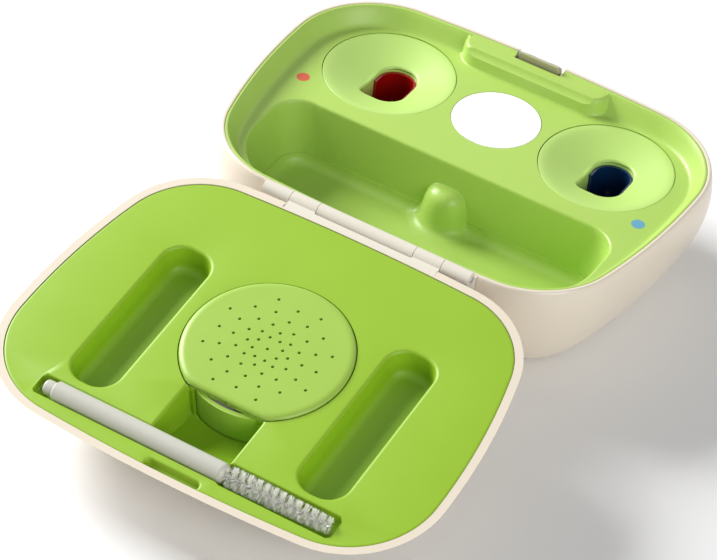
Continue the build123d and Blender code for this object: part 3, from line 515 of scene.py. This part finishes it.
def base_profile(share):
    """Depth and growth of the side: a parabola to the belly, then a superellipse to the underside."""
    share = np.asarray(share, float)
    rise = np.clip(1 - share / 0.2, 0, 1)
    angle = np.clip((share - 0.2) / 0.8, 0, 1) * math.pi / 2
    power = 2 / base_roundness
    below = belly_depth + (base_height - pad_height - belly_depth) * np.sin(angle) ** power
    depth = np.where(share < 0.2, belly_depth * (1 - rise), below)
    inward = belly - base_run * (1 - np.abs(np.cos(angle)) ** power)
    return depth, np.where(share < 0.2, belly - (belly - lip) * rise ** 2, inward)


depths, growths = base_profile(np.linspace(0.015, 1, 46))
pad_inset, rebate_z = 13.0, 30.5
profile = [(0.0, rebate_z), (0.0, 31.75), (0.06, 31.9), (0.2, 31.96), (0.6, 31.96), (0.82, 31.92),
           (0.96, 31.8)]
profile += [(g, base_height - d) for d, g in zip(depths, growths)]
profile += [(0.1 - pad_inset, pad_height), (0.1 - pad_inset, 1.2)]
squash = (base_height - shell_floor_z) / (base_height - pad_height)
hollow = [(g - shell_wall, base_height - d * squash) for d, g in zip(depths[::-1], growths[::-1])]
hollow = [h for h in hollow if h[1] < rebate_z] + [(-0.35, rebate_z), (0.0, rebate_z)]

shell = Shape()
outer_rings = [raised(case_outline(o), z) for o, z in profile]
shell.rings(outer_rings)
shell.cap(outer_rings[-1])
inner_rings = [raised(case_outline(o), z) for o, z in hollow]
shell.rings(inner_rings)
shell.cap(inner_rings[0])
base_shell = make_piece("base_shell_skin", shell, "base", "shell", ["base_shell"])

catch_gap, leaf_gap, button_z = 14.2, 60.2, 21.5
carve(base_shell, [
    bored(rectangle(-48, -42, 29.2, 34), 0, -catch_gap / 2, catch_gap / 2),
    bored(rectangle(43.3, 48, 28.5, 34), 0, -leaf_gap / 2, leaf_gap / 2),
    bored(stadium(17.6, 7.1) + (0, button_z), 1, -40, -52),
    bored(circle(1.1, 24) + (16.0, button_z), 1, -40, -52),
    bored(stadium(9.6, 3.9) + (-14.0, 14.0), 0, 50, 66),
])

# %% [markdown]
# ## Reliefs
# The tray and the lid's panel are sheets with hollows pressed into them, so each is a height over
# a flat plan. A plain grid would leave jagged edges on their steep walls. Instead the plan is
# triangulated through loops that follow every edge, fillet and wall, and the height of each point
# comes from a formula of its distance to those edges.

# %% Plan distances and relief meshes
def box_distance(x, y, centre, half, corner):
    """Distance to a rounded rectangle, negative inside: |p| minus its straight part and its corner."""
    qx = np.abs(x - centre[0]) - (half[0] - corner)
    qy = np.abs(y - centre[1]) - (half[1] - corner)
    outside = np.hypot(np.maximum(qx, 0), np.maximum(qy, 0))
    return outside + np.minimum(np.maximum(qx, qy), 0) - corner


def corner_arc(centre, radius, quarter, steps):
    """A quarter circle of a rounded corner, with the quarters counted anticlockwise from 0."""
    angle = np.linspace(quarter, quarter + 1, steps) * math.pi / 2
    return unit(angle) * radius + centre


def box_loop(centre, half, corner, grow=0.0, steps=12):
    """The outline of a rounded rectangle moved out by grow."""
    radius = max(corner + grow, 0.02)
    hx, hy = half[0] + grow - radius, half[1] + grow - radius
    places = enumerate(((hx, hy), (-hx, hy), (-hx, -hy), (hx, -hy)))
    return np.concatenate([corner_arc(p, radius, q, steps) for q, p in places]) + centre


def loop_distance(x, y, loop):
    """Distance to a closed loop of short straight pieces, negative inside it."""
    nearest = np.full(x.shape, np.inf)
    inside = np.zeros(x.shape, bool)
    after = np.roll(loop, -1, axis=0)
    for chunk in range(0, len(x), 4000):
        part = slice(chunk, chunk + 4000)
        px, py = x[part, None], y[part, None]
        ax, ay = loop[:, 0], loop[:, 1]
        ex, ey = after[:, 0] - ax, after[:, 1] - ay
        along = ((px - ax) * ex + (py - ay) * ey) / np.maximum(ex * ex + ey * ey, 1e-12)
        along = along.clip(0, 1)
        nearest[part] = np.hypot(px - ax - along * ex, py - ay - along * ey).min(axis=1)
        crossing_x = ex * (py - ay) / np.where(ey == 0, 1e-12, ey) + ax
        crosses = ((ay > py) != (after[:, 1] > py)) & (px < crossing_x)
        inside[part] = crosses.sum(axis=1) % 2 == 1
    return np.where(inside, -nearest, nearest)


case_line = case_outline(0, fine=3)


def case_distance(x, y):
    """How far outside the case outline a point lies; inside it is negative."""
    return loop_distance(x, y, case_line)


def dip(distance, radius):
    """Depth of a rounded edge at a distance d outside a hollow: r - sqrt(r^2 - (r - d)^2)."""
    rest = np.clip(radius - distance, 0, radius)
    return radius - np.sqrt(np.maximum(radius ** 2 - rest ** 2, 0))


def smooth_positive(value, softness):
    """Close to the larger of 0 and the value, but bending softly: (v + sqrt(v^2 + softness^2)) / 2."""
    return (value + np.sqrt(value ** 2 + softness ** 2)) / 2


def relief(loops, keep, height):
    """Triangulates the plan through all loops, keeps the wanted faces and lifts the points."""
    points = np.concatenate(loops)
    edges, start = [], 0
    for loop in loops:
        index = np.arange(len(loop))
        edges.append(np.column_stack([index, np.roll(index, -1)]) + start)
        start += len(loop)
    corners, lines = [Vector(p) for p in points.tolist()], np.concatenate(edges).tolist()
    found = geometry.delaunay_2d_cdt(corners, lines, [], 0, 1e-4)
    plan = np.array([tuple(v) for v in found[0]])
    faces = np.array([f for f in found[2] if len(f) == 3])
    middles = plan[faces].mean(axis=1)
    faces = faces[keep(middles[:, 0], middles[:, 1])]
    used = np.unique(faces)
    renumber = np.zeros(len(plan), int)
    renumber[used] = np.arange(len(used))
    plan = plan[used]
    shape = Shape()
    shape.patch(np.column_stack([plan, height(plan[:, 0], plan[:, 1])]), renumber[faces])
    return shape


# %% [markdown]
# ## Base tray
# From the rim inwards the tray has a narrow flat flange, a slope, and a deck 5.4 mm below the rim.
# The storage trough falls from the deck in steep drafted walls, with a half-round bulge on its
# front wall. The latch block stands at the front. All of it is one height function, and only the
# walls of the insert seats are rings under it.

# %% Base tray
deck_z, trough_floor_z, floor_fillet, rim_fillet = 26.6, 8.0, 3.0, 0.9
bulge_place, bulge_top_z = (0.0, 3.0), 19.4
# Heights over the deck, by the distance outside the case outline and outside the latch block
rim_offsets = (-4.6, -4.1, -3.75, -3.4, -3.0, -0.95, -0.75, -0.3, -0.16, -0.1)
rim_rises = (0.0, 0.08, 0.28, 0.66, 1.25, 5.0, 5.17, 5.2, 5.15, 5.02)
latch_box = (0.0, -46.4), (21.9, 9.6), 6.0
latch_edges = (-1.1, -0.75, -0.4, -0.15, -0.02, 0.45, 0.55, 0.75, 1.1)
latch_rises = (4.8, 4.72, 4.48, 4.1, 3.6, 0.6, 0.32, 0.1, 0.0)
# The closed lid's brush lies over the block's inner edge and needs this radius about this line
brush_y, brush_line_z, brush_clearance = -35.5, 32.4, 3.0


def trough_loop(front_radius, back_radius, front_y, back_y, half_length):
    """The trough in plan: a rectangle with small corners at the front and large ones at the back."""
    loop = []
    for sx, cy, radius, quarter in ((1, back_y, back_radius, 0), (-1, back_y, back_radius, 1),
                                    (-1, front_y, front_radius, 2), (1, front_y, front_radius, 3)):
        centre = (sx * (half_length - radius), cy - radius if quarter < 2 else cy + radius)
        loop.append(corner_arc(centre, radius, quarter, 24))
    front_run = loop[2][-1] + (loop[3][0] - loop[2][-1]) * np.linspace(0, 1, 40)[1:-1, None]
    return np.concatenate([loop[0], loop[1], loop[2], front_run, loop[3]])


trough_top = trough_loop(9.0, 20.0, 2.4, 39.4, 50.7)
trough_bottom = trough_loop(7.0, 17.0, 4.4, 33.4, 46.5)


def upper_height(x, y, offset):
    """Flange, slope and deck by the distance to the case outline, and the latch block on them."""
    rim = deck_z + np.interp(offset, rim_offsets, rim_rises)
    latch_block = deck_z + np.interp(box_distance(x, y, *latch_box), latch_edges, latch_rises)
    from_brush = y - brush_y
    round_brush = brush_line_z - np.sqrt(np.maximum(brush_clearance ** 2 - from_brush ** 2, 0))
    clear = np.where(np.abs(from_brush) < brush_clearance, round_brush, base_height)
    return np.maximum(rim, np.minimum(latch_block, clear))


def wall_height(x, y):
    """Height of the trough's drafted wall: its share of the way from the floor outline to the top."""
    from_floor = np.maximum(loop_distance(x, y, trough_bottom), 0)
    from_top = np.maximum(-loop_distance(x, y, trough_top), 0)
    way = np.maximum(from_floor + from_top, 1e-6)
    return trough_floor_z + (base_height - trough_floor_z) * from_floor / way


# The rim of the trough: on each line from floor to top, the point where the wall meets the tray's top
shares = np.linspace(0, 1, 241)
lines = trough_bottom[None] + (trough_top - trough_bottom)[None] * shares[:, None, None]
line_x, line_y = lines.reshape(-1, 2).T
tops = upper_height(line_x, line_y, case_distance(line_x, line_y))
wall_tops = trough_floor_z + (base_height - trough_floor_z) * shares[:, None]
meets = (wall_tops > tops.reshape(len(shares), -1) - rim_fillet).argmax(axis=0)
meets = np.where(meets == 0, len(shares) - 1, meets)
trough_rim = lines[meets, np.arange(len(trough_bottom))]


bulge_reaches = (0.0, 1.5, 2.8, 3.8, 4.6, 5.3, 5.8, 6.2, 6.5, 6.9, 7.4, 8.1, 9.0)
bulge_drops = np.array([0.0, 0.06, 0.3, 0.75, 1.4, 2.4, 3.7, 5.3, 7.2, 8.9, 10.1, 10.9, 11.4])
bulge_foot = 10.5


def tray_height(x, y):
    """Upper surface outside the trough's rim, rolled over at its edge; wall, bulge and floor inside."""
    from_rim = loop_distance(x, y, trough_rim)
    outside = upper_height(x, y, case_distance(x, y)) - dip(from_rim, rim_fillet)
    to_wall = -loop_distance(x, y, trough_bottom)
    floor = trough_floor_z + dip(to_wall, floor_fillet)
    wall = np.maximum(wall_height(x, y), trough_floor_z + floor_fillet)
    inside = np.where(to_wall < 0, wall, floor)
    reach = np.hypot(x - bulge_place[0], y - bulge_place[1])
    bulge = np.interp(reach, bulge_reaches, bulge_top_z - bulge_drops)
    fade = np.clip((bulge_foot - reach) / 1.5, 0, 1)
    inside = inside + smooth_positive(bulge - inside, 0.9) * fade
    return np.where(from_rim >= 0, outside, np.minimum(inside, outside))


def between(first, second, share):
    """The loop at a share of the way from one matching loop to another."""
    return first + (second - first) * share


def grown(loop, amount):
    """A loop moved outwards along its own normals."""
    ahead = np.roll(loop, -1, axis=0) - np.roll(loop, 1, axis=0)
    normal = np.column_stack([ahead[:, 1], -ahead[:, 0]])
    return loop + normal / np.maximum(np.linalg.norm(normal, axis=1, keepdims=True), 1e-9) * amount


seat_radius, disc_radius, dot_radius = 18.15, 12.12, 1.8
insert_places = ((33.0, -20.5), (-33.0, -20.5))
disc_place = (0.0, -20.4)
dot_places = ((50.5, -4.9), (-50.5, -4.9))
slot_box = (0.0, -43.5), (7.1, 2.05), 0.3
bulge_rings = (0.8, 1.5, 2.2, 2.8, 3.3, 3.8, 4.2, 4.6, 5, 5.3, 5.6, 5.8, 6, 6.2, 6.35, 6.5, 6.7, 6.9, 7.4,
               8.1, 9, bulge_foot)
tray_loops = [case_outline(o, fine=2) for o in sorted((*rim_offsets, -1.75), reverse=True)]
tray_loops += [grown(trough_rim, g) for g in (0.0, 0.05, 0.14, 0.28, 0.45, 0.66, 0.9)]
tray_loops += [between(trough_bottom, trough_rim, s) for s in np.linspace(0.02, 0.96, 16)]
tray_loops += [grown(trough_bottom, -g) for g in (0.0, 0.12, 0.35, 0.7, 1.1, 1.6, 2.2, 3.0)]
tray_loops += [box_loop(*latch_box, g) for g in latch_edges]
tray_loops += [circle(r, 64, bulge_place) for r in bulge_rings]
tray_loops += [circle(seat_radius, 128, p) for p in insert_places]
tray_loops += [circle(disc_radius, 96, disc_place)]
tray_loops += [circle(dot_radius, 32, p) for p in dot_places]
tray_loops += [box_loop(*slot_box)]
tray_loops += [box_loop((0, -47.0), (21.0, d), 0.2, 0, 16) for d in (9.4, 9.0, 8.8, 8.6, 8.4)]


def on_tray(x, y):
    """True on the sheet of the tray: inside the case outline and outside the seats and the slot."""
    keep = case_distance(x, y) < rim_offsets[-1]
    holes = [(p, seat_radius) for p in insert_places] + [(p, dot_radius) for p in dot_places]
    for (cx, cy), radius in holes + [(disc_place, disc_radius)]:
        keep &= np.hypot(x - cx, y - cy) > radius
    return keep & (box_distance(x, y, *slot_box) > 0)


make_piece("base_tray_sheet", relief(tray_loops, on_tray, tray_height), "base", "tray_green",
           ["base_tray"], thickness=1.1)
low, ledge, high = deck_z - 6.2, deck_z - 4.75, deck_z - 0.6
wall_line = ((0, high), (0, ledge), (2, ledge), (2, low), (1, low), (1, high), (0, high))
seats = Shape()
for place in insert_places:
    walls = [circle(r, 96, place) for r in (seat_radius, seat_radius + 1.4, seat_radius - 2.2)]
    seats.rings([raised(walls[index], height) for index, height in wall_line])
make_piece("base_tray_seats", seats, "base", "tray_green")

# %% [markdown]
# ## Charging inserts
# Each insert lifts out of its seat. Its rim is flat and flows into a shallow dish, and the slot for
# the hearing aid's body goes down through the middle. The slot is rounded, except for one outer
# corner. The sheet comes from the same relief method; the skirt that stands in the seat and the
# sleeve round the slot are closed bands under it.

# %% Charging inserts
insert_radius, dish_radius, dish_floor, dish_depth = 18.0, 16.7, 5.6, 3.9
slot_shift, slot_length, slot_width = -1.0, 15.8, 11.2


def dish_height(radius):
    """A soft bend from the flat rim into a dish that flattens towards its floor, by the radius."""
    share = (dish_radius - radius) / (dish_radius - dish_floor)
    depth = smooth_positive(dish_depth * (1.14 * share - 0.14 * share * np.abs(share)), 0.55)
    edge = np.clip((radius - (insert_radius - 0.3)) / 0.3, 0, 1)
    return deck_z - 0.02 - np.minimum(depth, dish_depth) - 0.12 * edge ** 2


def slot_loop(grow=0.0):
    """The slot in plan: corner radii of 5.2, and 1.5 at one outer corner, moved out by grow."""
    loop = []
    for sx, sy, radius, quarter in ((1, 1, 1.5, 0), (-1, 1, 5.2, 1), (-1, -1, 5.2, 2), (1, -1, 5.2, 3)):
        centre = (slot_shift + sx * (slot_width / 2 - radius), sy * (slot_length / 2 - radius))
        loop.append(corner_arc(centre, radius + grow, quarter, 10))
    return np.concatenate(loop)


def band(shape, outer, inner, low, high):
    """A closed band between two matching loops: outer wall, top, inner wall and underside."""
    corners = ((outer, low), (outer, high), (inner, high), (inner, low), (outer, low))
    shape.rings([raised(loop, height) for loop, height in corners])


def on_insert(x, y):
    """True between the slot and the insert's rim, seen from the insert's middle."""
    return (np.hypot(x, y) < insert_radius) & (loop_distance(x, y, slot_loop()) > 0)


def insert_height(x, y):
    """The dish, rolled over by half a millimetre at the slot's edge, seen from the insert's middle."""
    from_slot = loop_distance(x, y, slot_loop())
    return dish_height(np.hypot(x, y)) - 0.5 * dip(from_slot, 0.55) / 0.55


insert_radii = [18.0, 17.9, 17.8, 17.7, 17.4, *np.linspace(17.1, 15.6, 7), *np.linspace(15, 5, 21)]
for side, (cx, cy) in zip(("right", "left"), insert_places):
    here, body = np.array([cx, cy]), f"insert_unit_{side}"
    loops = [circle(r, 96) + here for r in insert_radii]
    loops += [slot_loop(g) + here for g in (0.0, 0.12, 0.3, 0.55)]
    dish = relief(loops, lambda x, y: on_insert(x - cx, y - cy),
                  lambda x, y: insert_height(x - cx, y - cy))
    make_piece(f"insert_{side}_dish", dish, body, "insert_green", [f"insert_{side}"], thickness=1.9)
    under = Shape()
    rims = [circle(r, 96) + here for r in (insert_radius, insert_radius - 1.1)]
    band(under, *rims, deck_z - 4.6, deck_z - 1.0)
    band(under, slot_loop(1.2) + here, slot_loop() + here, deck_z - 14.6, deck_z - 4.2)
    make_piece(f"insert_{side}_skirt", under, body, "insert_green")

# %% [markdown]
# ## Lid panel
# The panel is drawn as it lies in the closed lid, with heights growing towards the outside of the
# lid, and is then turned open. Into its flat plate go two pockets with soft rims and drafted walls,
# the seat and well of the drying capsule, the finger notch beside the capsule, a shallow slot for
# the catch, and the groove that the brush is pressed into, which is wider along the bristles.

# %% Lid panel
plate_z, plate_edge = 0.1, -1.18
edge_offsets, edge_drops = (-1.9, -1.6, -1.35, -1.22, plate_edge), (0.0, 0.02, 0.1, 0.24, 0.45)
pocket_places = ((32.2, -5.5), (-32.2, -5.5))
pocket_half, pocket_corner, pocket_depth, pocket_fillet = (6.5, 24.3), 5.6, 7.5, 2.5
pocket_rim, pocket_draft = 1.0, 0.5
capsule_y, seat_r, seat_flat, seat_depth, well_r, well_depth = 0.8, 21.7, -17.7, 1.4, 20.45, 13.25
notch_half, notch_back, notch_front, notch_rim = 10.8, 10.5, 3.5, 0.8
notch_box = (0.0, -27.3), (notch_half, 9.6), 0.6
brush_z, handle_groove, bristle_groove = 0.5, 2.95, 3.45
groove_left, groove_step, groove_right = -42.1, -11.4, 42.0
catch_slot = (-0.9, -44.4), (7.4, 3.6), 1.2
slot_edges = (-0.6, -0.3, -0.08, 0.0, 0.05, 0.2, 0.4, 0.6)
slot_depths = (2.2, 2.1, 1.6, 0.75, 0.5, 0.28, 0.14, plate_z)


def groove_half(x):
    """Half width of the brush's groove: it widens in a soft step from the handle to the bristles."""
    share = np.clip((groove_step + 0.8 - x) / 1.6, 0, 1)
    return handle_groove + (bristle_groove - handle_groove) * share * share * (3 - 2 * share)


def groove_loop(shrink):
    """The groove in plan, narrowed by shrink, with rounded corners at both ends."""
    reach = max(min(shrink, 0.6), -0.6)
    x = np.concatenate([
        np.linspace(groove_left + reach, groove_step - 2, 30),
        np.linspace(groove_step - 1.6, groove_step + 1.6, 14),
        np.linspace(groove_step + 2, groove_right - reach, 50),
    ])
    ends = np.minimum(x - x[0], x[-1] - x) / 1.1
    rounding = np.sqrt(np.clip(1 - (1 - np.clip(ends, 0, 1)) ** 2, 0, 1))
    half = (groove_half(x) - shrink) * (0.72 + 0.28 * rounding)
    front, rear = np.column_stack([x, brush_y - half]), np.column_stack([x, brush_y + half])
    return np.concatenate([front, rear[::-1]])


def seat_loop(grow):
    """The capsule's seat in plan: a circle with a flat towards the finger notch, moved out by grow."""
    radius, flat = seat_r + grow, seat_flat - grow
    start = math.asin((flat - capsule_y) / radius)
    angle = np.linspace(start, math.pi - start, 110)
    arc = unit(angle) * radius + (0, capsule_y)
    run = np.linspace(arc[-1, 0], arc[0, 0], 24)[1:-1]
    return np.concatenate([arc, np.column_stack([run, np.full(22, flat)])])


def pocket_profile(out):
    """Depth in a pocket: a drafted wall, then a round fillet down to the flat floor."""
    top, foot = plate_z + pocket_rim, pocket_depth - pocket_fillet
    wall = top + (foot - top) * np.clip(-out / pocket_draft, 0, 1)
    return np.where(out < -pocket_draft, pocket_depth - dip(-out - pocket_draft, pocket_fillet), wall)


def notch_profile(x, y):
    """Depth in the finger notch: line plus parabola from its back to its front, less its fillet."""
    share = np.clip((-19.4 - y) / 16.1, 0, 1)
    scoop = notch_back + (notch_front - notch_back) * share + 7.0 * share * (1 - share)
    out = box_distance(x, y, *notch_box)
    edge = plate_z + dip(out, notch_rim) * (y > -33)
    return np.where(out < 0, scoop - dip(-out, 0.9), edge)


def groove_profile(x, y):
    """Depth in the brush's groove: brush_z + sqrt(half^2 - dy^2), with steep ends and rolled edges."""
    dy, half = np.abs(y - brush_y), groove_half(x)
    end = np.minimum(x - groove_left, groove_right - x)
    trench = brush_z + np.sqrt(np.maximum(half ** 2 - dy ** 2, 0))
    trench = np.where((dy < half) & (end > 0), np.minimum(trench, plate_z + end * 30), plate_z)
    beside = np.where(end > -0.6, plate_z + dip(dy - half, 0.5), plate_z)
    return np.maximum(trench, beside)


def panel_depth(x, y):
    """Plate, then the deepest of the pockets, notch, groove, seat, well and catch slot."""
    depth = plate_z + np.interp(case_distance(x, y), edge_offsets, edge_drops)
    for place in pocket_places:
        out = box_distance(x, y, place, pocket_half, pocket_corner)
        depth = np.where(out < 0, pocket_profile(out), depth + dip(out, pocket_rim))
    to_middle = np.hypot(x, y - capsule_y)
    seat = np.where(np.maximum(to_middle - seat_r, seat_flat - y) < 0, seat_depth, plate_z)
    well = np.where(to_middle < well_r, well_depth, plate_z)
    slot = np.interp(box_distance(x, y, *catch_slot), slot_edges, slot_depths)
    return np.maximum.reduce([depth, notch_profile(x, y), groove_profile(x, y), seat, well, slot])


pocket_steps = (1.0, 0.8, 0.6, 0.42, 0.27, 0.15, 0.06, 0.01, 0.0, -0.5, -0.6, -0.8, -1.05, -1.35, -1.7,
                -2.1, -2.55, -3.0)
notch_steps = (0.8, 0.55, 0.32, 0.15, 0.05, 0.0, -0.03, -0.15, -0.35, -0.6, -0.9)
groove_steps = (-0.5, -0.32, -0.18, -0.08, -0.02, 0.0, 0.04, 0.15, 0.35, 0.7, 1.15, 1.7, 2.4)
panel_loops = [case_outline(o, fine=2) for o in edge_offsets[::-1]]
panel_loops += [box_loop(p, pocket_half, pocket_corner, g) for p in pocket_places for g in pocket_steps]
panel_loops += [box_loop(*notch_box, g, 6) for g in notch_steps]
panel_loops += [box_loop(notch_box[0], (notch_half - 0.9, d), 0.1, 0, 30) for d in (8.0, 6.0, 4.0, 2.0)]
panel_loops += [groove_loop(s) for s in groove_steps]
panel_loops += [seat_loop(g) for g in (0.02, -0.02)]
panel_loops += [circle(r, 120, (0, capsule_y)) for r in (well_r + 0.02, well_r - 0.03)]
panel_loops += [box_loop(*catch_slot, g) for g in slot_edges[::-1]]


def on_panel(x, y):
    """True on the panel's sheet, inside its edge."""
    return case_distance(x, y) < plate_edge


make_piece("lid_panel_sheet", relief(panel_loops, on_panel, panel_depth), "lid", "panel_green",
           ["lid_panel"], opens=True, thickness=1.0)

# %% [markdown]
# ## Capsule cover
# The drying capsule's cover stands a little over the panel, with a broad soft edge. Its 57 holes lie
# on seven rings of eight, every second ring turned by half a step, with one in the middle. The
# plate is one relief with the holes left out, and a closed wall runs down into the seat.

# %% Capsule cover
cover_radius, cover_flat, cover_top, cover_round = 21.4, 18.2, -0.8, 1.7
hole_radius, first_ring, ring_step = 0.42, 3.7, 2.02
hole_places = [(0.0, capsule_y)]
for ring in range(7):
    reach = first_ring + ring * ring_step
    for arm in range(8):
        bearing = math.radians((arm + (1 + ring % 2) / 2) * 45)
        hole_places.append((reach * math.cos(bearing), capsule_y + reach * math.sin(bearing)))
hole_places = np.array(hole_places)


def cover_distance(x, y):
    """Distance inside the cover's edge: a softened smaller of those to the circle and to the flat."""
    to_circle = cover_radius - np.hypot(x, y - capsule_y)
    to_flat = y - capsule_y + cover_flat
    return (to_circle + to_flat - np.sqrt((to_circle - to_flat) ** 2 + 0.6)) / 2


def cover_height(x, y):
    """Top of the cover: a quarter ellipse from the plate to the wall, 1.7 mm wide and 0.9 mm high."""
    inside = np.clip(cover_distance(x, y) / cover_round, 0, 1)
    return cover_top + 0.9 * (1 - np.sqrt(np.maximum(1 - (1 - inside) ** 2, 0)))


def cover_loop(inset):
    """The cover's outline moved inwards."""
    return (seat_loop(0.0) - (0, capsule_y)) * (1 - (inset + 0.3) / seat_r) + (0, capsule_y)


def on_cover(x, y):
    """True on the cover's plate outside all of its holes."""
    apart = np.hypot(x[:, None] - hole_places[:, 0], y[:, None] - hole_places[:, 1]).min(axis=1)
    return apart > hole_radius * 0.97


cover_loops = [cover_loop(i) for i in (0.0, 0.06, 0.18, 0.36, 0.6, 0.9, 1.25, 1.65, 2.1, 2.6)]
cover_loops += [circle(hole_radius, 16, tuple(p)) for p in hole_places]
make_piece("capsule_cover_plate", relief(cover_loops, on_cover, cover_height), "drying_capsule",
           "capsule_green", ["capsule_cover"], opens=True, thickness=1.2)
cover_wall = Shape()
band(cover_wall, cover_loop(0.0), cover_loop(2.0), 0.1, 1.35)
make_piece("capsule_cover_wall", cover_wall, "drying_capsule", "capsule_green", opens=True)

# %% [markdown]
# ## Latch catch
# The catch is a moulded bar with a rounded back, as long as a fingertip is wide. Its hooked nose
# stands up over the rim, and the springy arm reaches down inside the wall to the release button.

# %% Latch catch
catch_half, catch_front, catch_back = 6.2, -45.3, -42.2
bar_z, bar_half_height, arm_inset = base_height - 1.3, 1.2, 0.4
angle = np.linspace(0, 2 * math.pi, 48, endpoint=False)
round_y = np.sign(np.cos(angle)) * np.abs(np.cos(angle)) ** 0.62
round_z = np.sign(np.sin(angle)) * np.abs(np.sin(angle)) ** 0.62
swing = -np.cos(np.linspace(0, math.pi, 9))
sections = []
for share in np.concatenate([swing[:4], [-0.8, 0.8], swing[5:]]):
    size = (1 - abs(share) ** 8) ** (1 / 4) if abs(share) < 1 else 0.35
    y = (catch_front + catch_back) / 2 + (catch_back - catch_front) / 2 * size * round_y
    z = bar_z + bar_half_height * size * round_z
    sections.append(np.column_stack([np.full(48, catch_half * share), y, z]))
bar = Shape()
bar.rings(sections)
bar.cap(sections[0])
bar.cap(sections[-1])
make_piece("latch_catch_bar", bar, "latch", "catch", ["latch_catch"], sharp=60)
nose_line = np.array([[-42.9, 31.2], [-42.9, 32.6], [-43.5, 32.62], [-43.45, 32.75], [-42.95, 33.05],
                      [-42.75, 33.1], [-42.3, 33.1], [-42.2, 33.0], [-42.2, 19.6], [-43.4, 19.6],
                      [-43.5, 19.7], [-43.5, 30.2]])
arm = bored(nose_line, 0, arm_inset - catch_half, catch_half - arm_inset)
make_piece("latch_catch_arm", arm, "latch", "catch")

# %% [markdown]
# ## Cleaning brush
# The brush is a twisted wire with nylon bristles caught between its two strands, so the bristles
# leave it in two spiral rows and the outline tapers towards the tip. Two wires wind about each
# other, and 3,000 tapered threads stand on them, each a little out of line with its row.

# %% Brush bristles and wire
bristle_start, bristle_end, root_reach, tip_reach = -12.0, -40.6, 2.9, 2.2
strands, twist = 3000, 2 * math.pi / 4.4
random = np.random.default_rng(7)
along = np.sort(random.random(strands))
x = bristle_start + (bristle_end - bristle_start) * along
row = random.integers(0, 2, strands) * math.pi
bearing = x * twist + row + random.normal(0, 0.55, strands)
reach = (root_reach + (tip_reach - root_reach) * along ** 2) * random.uniform(0.86, 1.0, strands)
lean = random.normal(0, 0.35, strands)
outward = np.column_stack([np.zeros(strands), np.cos(bearing), np.sin(bearing)])
across = np.column_stack([np.zeros(strands), -np.sin(bearing), np.cos(bearing)])
axis = np.array([1.0, 0.0, 0.0])
root = np.column_stack([x, np.full(strands, brush_y), np.full(strands, brush_z)])
rings = []
for share, thick in ((0.08, 0.06), (0.55, 0.05), (1.0, 0.035)):
    centre = root + outward * (reach * share)[:, None] + axis * (lean * share ** 2)[:, None]
    for corner in range(3):
        spoke = math.radians(120 * corner)
        rings.append(centre + thick * (across * math.cos(spoke) + axis * math.sin(spoke)))
threads = Shape()
points = np.stack(rings, axis=1).reshape(-1, 3)
base = np.arange(strands)[:, None] * 9
sides = [[level + a, level + b, level + 3 + b, level + 3 + a]
         for level in (0, 3) for a, b in ((0, 1), (1, 2), (2, 0))]
quads = (base[:, None, :] + np.array(sides)[None]).reshape(-1, 4)
points[:, 0] = np.maximum(points[:, 0], bristle_end + 0.02)
threads.patch(points, quads)
threads.patch(points, np.concatenate([base + [2, 1, 0], base + [6, 7, 8]]))
make_piece("brush_threads", threads, "brush", "bristle", ["brush_bristles"], opens=True)

wires = Shape()
turn_at = np.linspace(bristle_start + 0.05, bristle_end + 0.05, 220)
wire_radius, wind_radius = 0.25, 0.24
wire_round = np.insert(circle(wire_radius, 8), 0, 0.0, axis=1)
for phase in (0.0, math.pi):
    swing = turn_at * twist * 2 + phase
    line = [turn_at, brush_y + wind_radius * np.cos(swing), brush_z + wind_radius * np.sin(swing)]
    wire = [m + wire_round for m in np.column_stack(line)]
    wires.rings(wire)
    wires.cap(wire[0])
    wires.cap(wire[-1])
make_piece("brush_wire", wires, "brush", "steel", opens=True)

# %% [markdown]
# ## The other pieces
# The hinge, the lid shell, the liners, the brush handle and what sits inside show their own solids
# and need only their finishes.

# %% Finish the remaining nodes
for entry in frame["record"]["subparts"]:
    for place in frame["nodes"][entry["node"]].material_slots:
        place.link = "OBJECT"
        place.material = finishes[entry["material_slot"]]

# %% [markdown]
# ## Floor
# The charger lies on a plain pale surface that keeps its soft shadow.

# %% Floor
floor_finish = Finish("pale_floor")
floor_finish.set(Base_Color=(0.92, 0.92, 0.92, 1.0), Roughness=0.9)
floor_corners = rectangle(-3000, 3000, -3000, 3000)
floor = new_object("floor", raised(floor_corners, 0.0), [(0, 1, 2, 3)])
floor.data.materials.append(floor_finish.material)

# %% [markdown]
# ## Last update
# The view layer is brought up to date once more.

# %% Update the view layer
bpy.context.view_layer.update()
